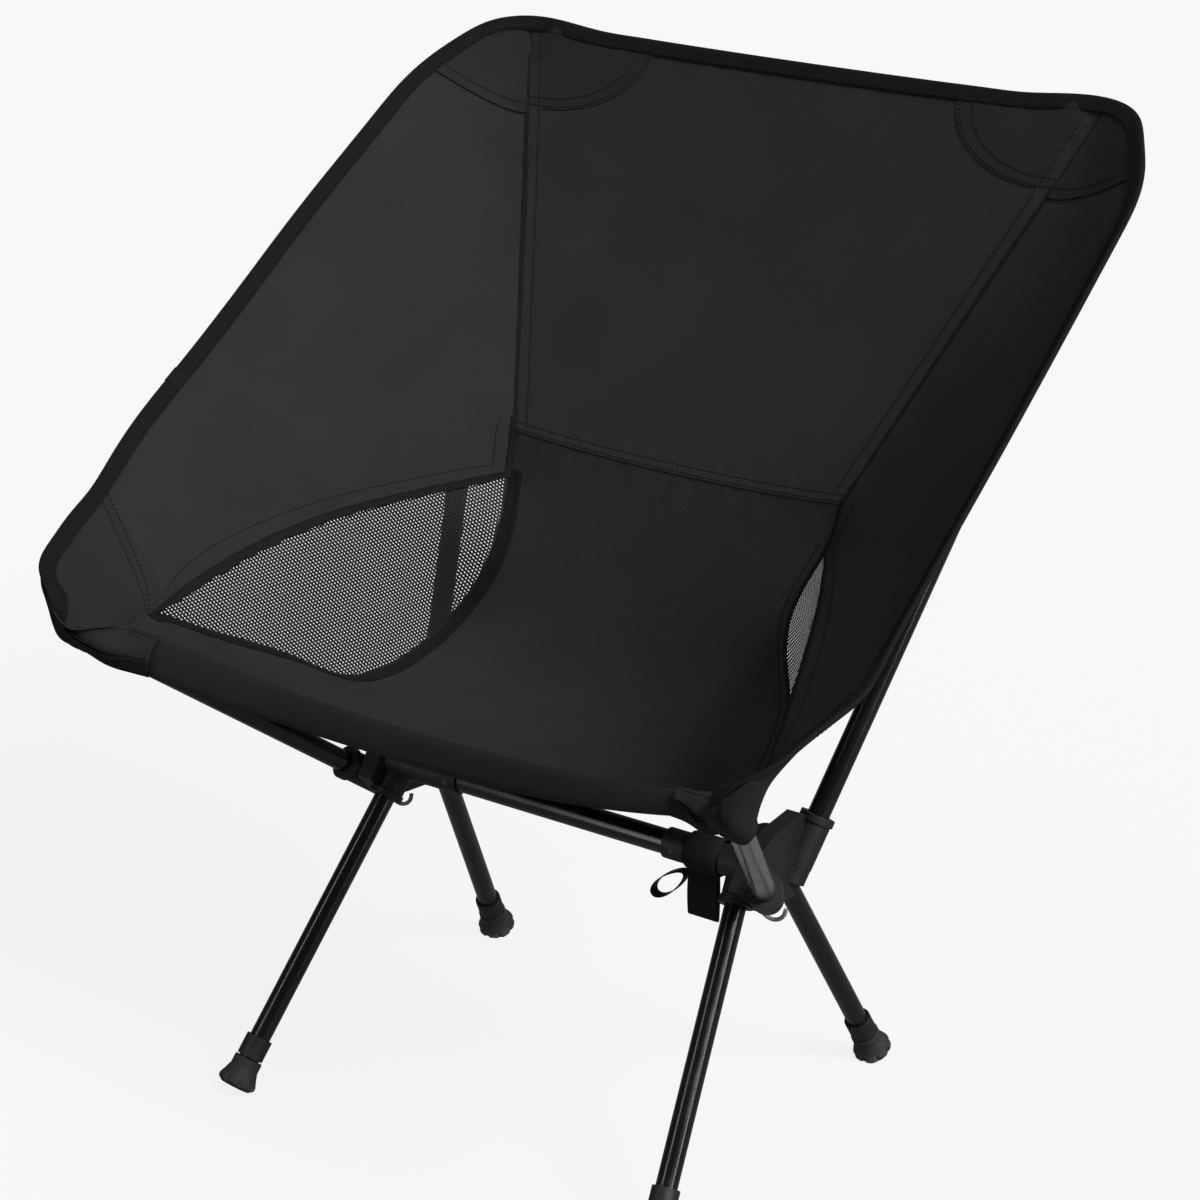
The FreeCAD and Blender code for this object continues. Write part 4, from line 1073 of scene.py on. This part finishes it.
def hem_part():
    """The folded band along the seat's front edge."""
    share = np.linspace(HEM_END, 1 - HEM_END, 130)
    ones = np.ones_like(share)
    edge = on_surface("seat", ones, share)
    back = unit(on_surface("seat", ones - 0.03, share) - edge)
    off_seat = normal_on("seat", ones, share)
    blend = (np.abs(share * 2 - 1) ** 2)[:, None]
    end_drop = np.where(share[:, None] < 0.5, HEM_DROP_LEFT, HEM_DROP_RIGHT)
    drop = HEM_DROP_CENTRE + (end_drop - HEM_DROP_CENTRE) * blend
    off_front = unit(np.cross(unit(drop), directions(edge)))
    off_front *= np.sign(-off_front[:, 1:2])
    moves = np.stack([back, off_seat, drop / HEM_FALL, off_front], axis=1)
    return loft(edge[:, None] + np.array(HEM_SECTION) * MM @ moves)


piece("front_hem_band", [hem_part()], PATCH, stands_for=["front_hem"])

# ---- corner pockets for the pole tips
POCKET_ROUNDING = 9 * MM  # length over which a pocket's end is rounded off
POCKET_CLOSING = np.array([9, 6.5, 4.2, 2.4, 1.0, 0.2, 0.0]) * MM  # the rings that do it
POCKET_HEM = 7 * MM
POCKET_LINING = 14 * MM  # the inner face stops this far from the end


def pocket_part(node, length, radius):
    """A sewn sleeve over a pole's end, closed over its cap."""
    low, high = tube_axis(node)
    axis = unit(high - low)
    tip = high + axis * (CAP_LENGTH + 1 * MM)
    side = unit(np.cross(axis, np.array([0.0, 0, 1])))
    up = np.cross(axis, side)
    turn = np.linspace(0, 2 * math.pi, 49)[:-1]
    outline = side * np.cos(turn)[:, None] + up * np.sin(turn)[:, None]
    sleeve = np.linspace(length - 2 * MM, 12 * MM, 16)
    place = np.concatenate([[length, length - 0.4 * MM], sleeve, POCKET_CLOSING])[:, None]
    close = np.maximum(0, 1 - place / POCKET_ROUNDING)
    hem = np.where(place > length - POCKET_HEM, 0.5 * MM, 0)
    around = radius + hem + 0.25 * MM * np.sin(turn * 5 + place * 260)
    around *= np.maximum(0.05, np.sqrt(1 - close**2))
    lined = place[:, 0] > POCKET_LINING
    place = np.concatenate([place[lined][::-1], place])
    around = np.concatenate([around[lined][::-1] - CLOTH, around])
    return loft((tip - axis * place)[:, None] + outline * around[..., None])


side_pieces("pocket_front", [pocket_part("front_pole_right", 27 * MM, 8.8 * MM)], PATCH, ["front_pocket"])
side_pieces("pocket_back", [pocket_part("back_pole_upper_right", 74 * MM, 9.4 * MM)], SLING, ["back_pocket"])


# ---- storage strap on the right hub
def box_of(node):
    """The middle and the size of a CAD node's box."""
    low, high = (np.array(corner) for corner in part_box(node))
    return (low + high) / 2, high - low


wrap_middle, wrap_size = box_of("strap_wrap")
tag_middle, tag_size = box_of("strap_tag")
ribbon_middle, ribbon_size = box_of("strap_ribbon")
ALONG_BAR = np.array([1.0, 0, 0])

# The wrap winds a little more than once round the hub's barrel and over its own start.
turns = np.linspace(-0.3, 2 * math.pi * 1.18, 90)
spiral = wrap_size[1] / 2 - 1.5 * MM + turns / (2 * math.pi) * 1.3 * MM
wrap_up = columns_of(0 * turns, np.cos(turns + 2.2), np.sin(turns + 2.2))
wrap_path = np.array([wrap_middle[0], BAR_Y, BAR_Z]) + wrap_up * spiral[:, None]
wrap_side = np.tile(ALONG_BAR, (len(turns), 1))
wrap_part = swept(wrap_path, wrap_side, wrap_up, flat_section(wrap_size[0], 1.1 * MM))
piece("strap_wrap_web", [wrap_part], WEBBING, "storage_strap", ["strap_wrap"])

# The tag is one web folded at its foot: down in front, round the fold and up behind.
tag_top = tag_middle[2] + tag_size[2] / 2
fold_height = tag_middle[2] - tag_size[2] / 2 + 1.2 * MM
drop = np.linspace(0, 1, 30)
fold = np.linspace(0, math.pi, 9)[1:-1]
leaf_z = tag_top - 0.5 * MM + (fold_height - tag_top) * drop
tag_y = np.concatenate([
    -0.8 - 1.2 * np.sin(drop * math.pi),
    -0.8 * np.cos(fold),
    0.8 + 0.5 * np.sin(drop[::-1] * math.pi),
])
tag_z = np.concatenate([leaf_z, fold_height - 0.9 * MM * np.sin(fold), leaf_z[::-1]])
tag_path = columns_of(np.full_like(tag_y, tag_middle[0]), tag_middle[1] + tag_y * MM, tag_z)
tag_side = np.tile(ALONG_BAR, (len(tag_path), 1))
tag_up = unit(np.cross(tag_side, directions(tag_path)))
tag_part = swept(tag_path, tag_side, tag_up, flat_section(tag_size[0] - 0.4 * MM, 0.9 * MM))
piece("strap_tag_web", [tag_part], WEBBING, "storage_strap", ["strap_tag"])
tag_stitches = []
for below_top in (4 * MM, 9 * MM):
    start = np.array([tag_middle[0], tag_middle[1] - 2.2 * MM, tag_top - below_top])
    row = start + np.linspace(-9, 9, 20)[:, None] * MM * ALONG_BAR
    tag_stitches += stitch_row(row, np.tile([0, -1.0, 0], (20, 1)))
piece("strap_tag_stitches", tag_stitches, STRAP_THREAD, "storage_strap")

RIBBON_DROOP = math.radians(42)
RIBBON_REACH = 16.3 * MM
RIBBON_RISE = 6.6 * MM
loop_turn = np.linspace(0, 2 * math.pi, 61)[:-1]
pinch = 0.55 + 0.45 * np.cos(loop_turn)
flat_x = np.cos(loop_turn) * RIBBON_REACH
flat_z = np.sin(loop_turn) * RIBBON_RISE * (1.1 - 0.4 * pinch)
level, fall = math.cos(RIBBON_DROOP), math.sin(RIBBON_DROOP)
ribbon_path = columns_of(flat_x * level - flat_z * fall, 0 * flat_x, flat_x * fall + flat_z * level)
ribbon_path += ribbon_middle
ahead = unit(np.roll(ribbon_path, -1, axis=0) - np.roll(ribbon_path, 1, axis=0))
ribbon_side = np.tile([0, 1.0, 0], (60, 1))
ribbon_section = flat_section(ribbon_size[1] - 0.4 * MM, 0.7 * MM)
ribbon_part = swept(ribbon_path, ribbon_side, np.cross(ahead, ribbon_side), ribbon_section, closed=True)
piece("strap_ribbon_web", [ribbon_part], RIBBON, "storage_strap", ["strap_ribbon"])


# ---- shock cord
def braided(node, path, radius):
    """A cord with a braided sheath in relief, in place of a CAD cord."""
    side = unit(np.cross(directions(path), np.array([0.3, 1.0, 0.2])))
    up = np.cross(side, directions(path))
    turn = np.arange(20) * math.pi / 10
    lay = lengths_along(path)[:, None] * 2 * math.pi / (5.2 * MM)
    relief = np.abs(np.sin(2.5 * turn + lay)) * np.abs(np.sin(2.5 * turn - lay))
    size = radius * (0.9 + 0.13 * relief)
    rings = path[:, None] + side[:, None] * (np.cos(turn) * size)[..., None]
    rings = rings + up[:, None] * (np.sin(turn) * size)[..., None]
    name = node.replace("cord_loop", "cord_loop_braid").replace("leg_cord", "leg_cord_braid")
    piece(name, [loft(rings)], CORD, stands_for=[node])


for side in ("right", "left"):
    middle, size = box_of("cord_loop_" + side)
    cord_radius = size[1] / 2
    swing = np.linspace(0, math.pi, 70)
    loop_x = np.cos(swing) * (size[0] / 2 - cord_radius)
    loop_z = size[2] / 2 - np.sin(swing) * (size[2] - cord_radius)
    braided("cord_loop_" + side, middle + columns_of(loop_x, 0 * swing, loop_z), cord_radius)
    for end in ("front", "rear"):
        node = "leg_cord_%s_%s" % (end, side)
        braided(node, straight(*tube_axis(node))(np.linspace(0, 1, 240)), cord_radius)

# ---- materials of the CAD nodes
FINISHES = (
    # material, how the names of its nodes start; the first one that fits is taken
    (SILVER_TUBE, ("front_pole_right", "back_ferrule")),
    (NYLON, ("leg_plug", "back_tip", "front_tip")),
    (PIN_STEEL, ("crossbar_pins",)),
    (BLACK_TUBE, ("front_pole", "back_pole", "leg_", "crossbar")),
    (HUB_PLASTIC, ("hub", "foot_sleeve")),
    (RUBBER, ("boot",)),
)
for name, node in NODES.items():
    if node.hide_render:
        continue
    finish = next(material for material, starts in FINISHES if name.startswith(starts))
    node.data.materials.clear()
    node.data.materials.append(finish)
    low, high = tube_axis(name)
    node["axis"] = [float(value) for value in unit(high - low)]

# ---- studio
BACKDROP = 0.93
FLOOR_REACH = 30.0
floor_mesh = bpy.data.meshes.new("floor")
corners = [(x * FLOOR_REACH, y * FLOOR_REACH, 0) for x, y in ((-1, -1), (1, -1), (1, 1), (-1, 1))]
floor_mesh.from_pydata(corners, [], [(0, 1, 2, 3)])
floor = bpy.data.objects.new("floor", floor_mesh)
bpy.context.scene.collection.objects.link(floor)
floor_material, tree = new_material("floor_paper")
seen = add(tree, "LightPath").outputs["Is Camera Ray"]
set_surface(
    tree,
    Base_Color=(0.06, 0.06, 0.06, 1),
    Roughness=0.9,
    Specular_IOR_Level=0.0,
    Emission_Color=(1, 1, 1, 1),
    Emission_Strength=ramp(tree, seen, 0.0, 1.0, 0.15, 0.85),
    Normal=bump(tree, noise(tree, object_place(tree), 220.0), 0.05 * MM, 0.3),
)
floor_mesh.materials.append(floor_material)
floor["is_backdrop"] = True

# The room is even and pale to the camera, dimmer to the chair and nearly dark in its reflections.
world = bpy.data.worlds.new("studio")
bpy.context.scene.world = world
world.use_nodes = True
tree = world.node_tree
tree.nodes.clear()
ray = add(tree, "LightPath").outputs
glossy = ramp(tree, ray["Is Glossy Ray"], 0.0, 1.0, 0.58, 0.08)
strength = add(tree, "Mix", {0: ray["Is Camera Ray"], 2: glossy, 3: BACKDROP})
sky = add(tree, "Background", {"Color": (1, 1, 1, 1), "Strength": strength.outputs[0]})
add(tree, "OutputWorld", {"Surface": sky.outputs[0]})


def bearing(azimuth, elevation):
    """The direction from the chair at an azimuth and elevation in degrees."""
    turn, rise = math.radians(azimuth), math.radians(elevation)
    return Vector((math.sin(turn) * math.cos(rise), -math.cos(turn) * math.cos(rise), math.sin(rise)))


def place_lamp(lamp, azimuth, elevation, distance=0.0):
    """Put a lamp at a bearing from the chair, shining back at it."""
    towards = bearing(azimuth, elevation)
    holder = bpy.data.objects.new(lamp.name, lamp)
    turned = towards.to_track_quat("Z", "Y").to_matrix().to_4x4()
    holder.matrix_world = Matrix.Translation(towards * distance) @ turned
    bpy.context.scene.collection.objects.link(holder)
    return holder


key = bpy.data.lights.new("key", "SUN")
key.energy = 3.8
key.angle = math.radians(24.0)
place_lamp(key, 86.0, 45.0)

# Tall narrow panels that only show as bright lines along the tubes.
STRIPS = (
    # name, azimuth in degrees, power in watts
    ("strip_right", 86.0, 40.0),
    ("strip_left", -25.0, 30.0),
)
for name, azimuth, power in STRIPS:
    strip = bpy.data.lights.new(name, "AREA")
    strip.shape = "RECTANGLE"
    strip.size = 0.25
    strip.size_y = 5.0
    strip.energy = power
    lit_panel = place_lamp(strip, azimuth, 15.0, 2.8)
    lit_panel.visible_camera = False
    lit_panel.visible_diffuse = False

# ---- camera
AZIMUTH = 34.0  # degrees, like the elevation
ELEVATION = 21.8
ROLL = math.radians(0.4)
DISTANCE = 2080 * MM
AIM = Vector((0, BAR_Y + 42 * MM, 341 * MM))
back = bearing(AZIMUTH, ELEVATION)
level = bearing(AZIMUTH + 90, 0)
upright = back.cross(level)
right = level * math.cos(ROLL) + upright * math.sin(ROLL)
up = upright * math.cos(ROLL) - level * math.sin(ROLL)
camera_data = bpy.data.cameras.new("camera")
camera_data.sensor_width = 36.0
camera_data.lens = 94.05
camera = bpy.data.objects.new("camera", camera_data)
turned = Matrix((right, up, back)).transposed().to_4x4()
camera.matrix_world = Matrix.Translation(AIM + back * DISTANCE) @ turned
bpy.context.scene.collection.objects.link(camera)
bpy.context.scene.camera = camera
bpy.context.scene.view_settings.view_transform = "Standard"

low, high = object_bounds()
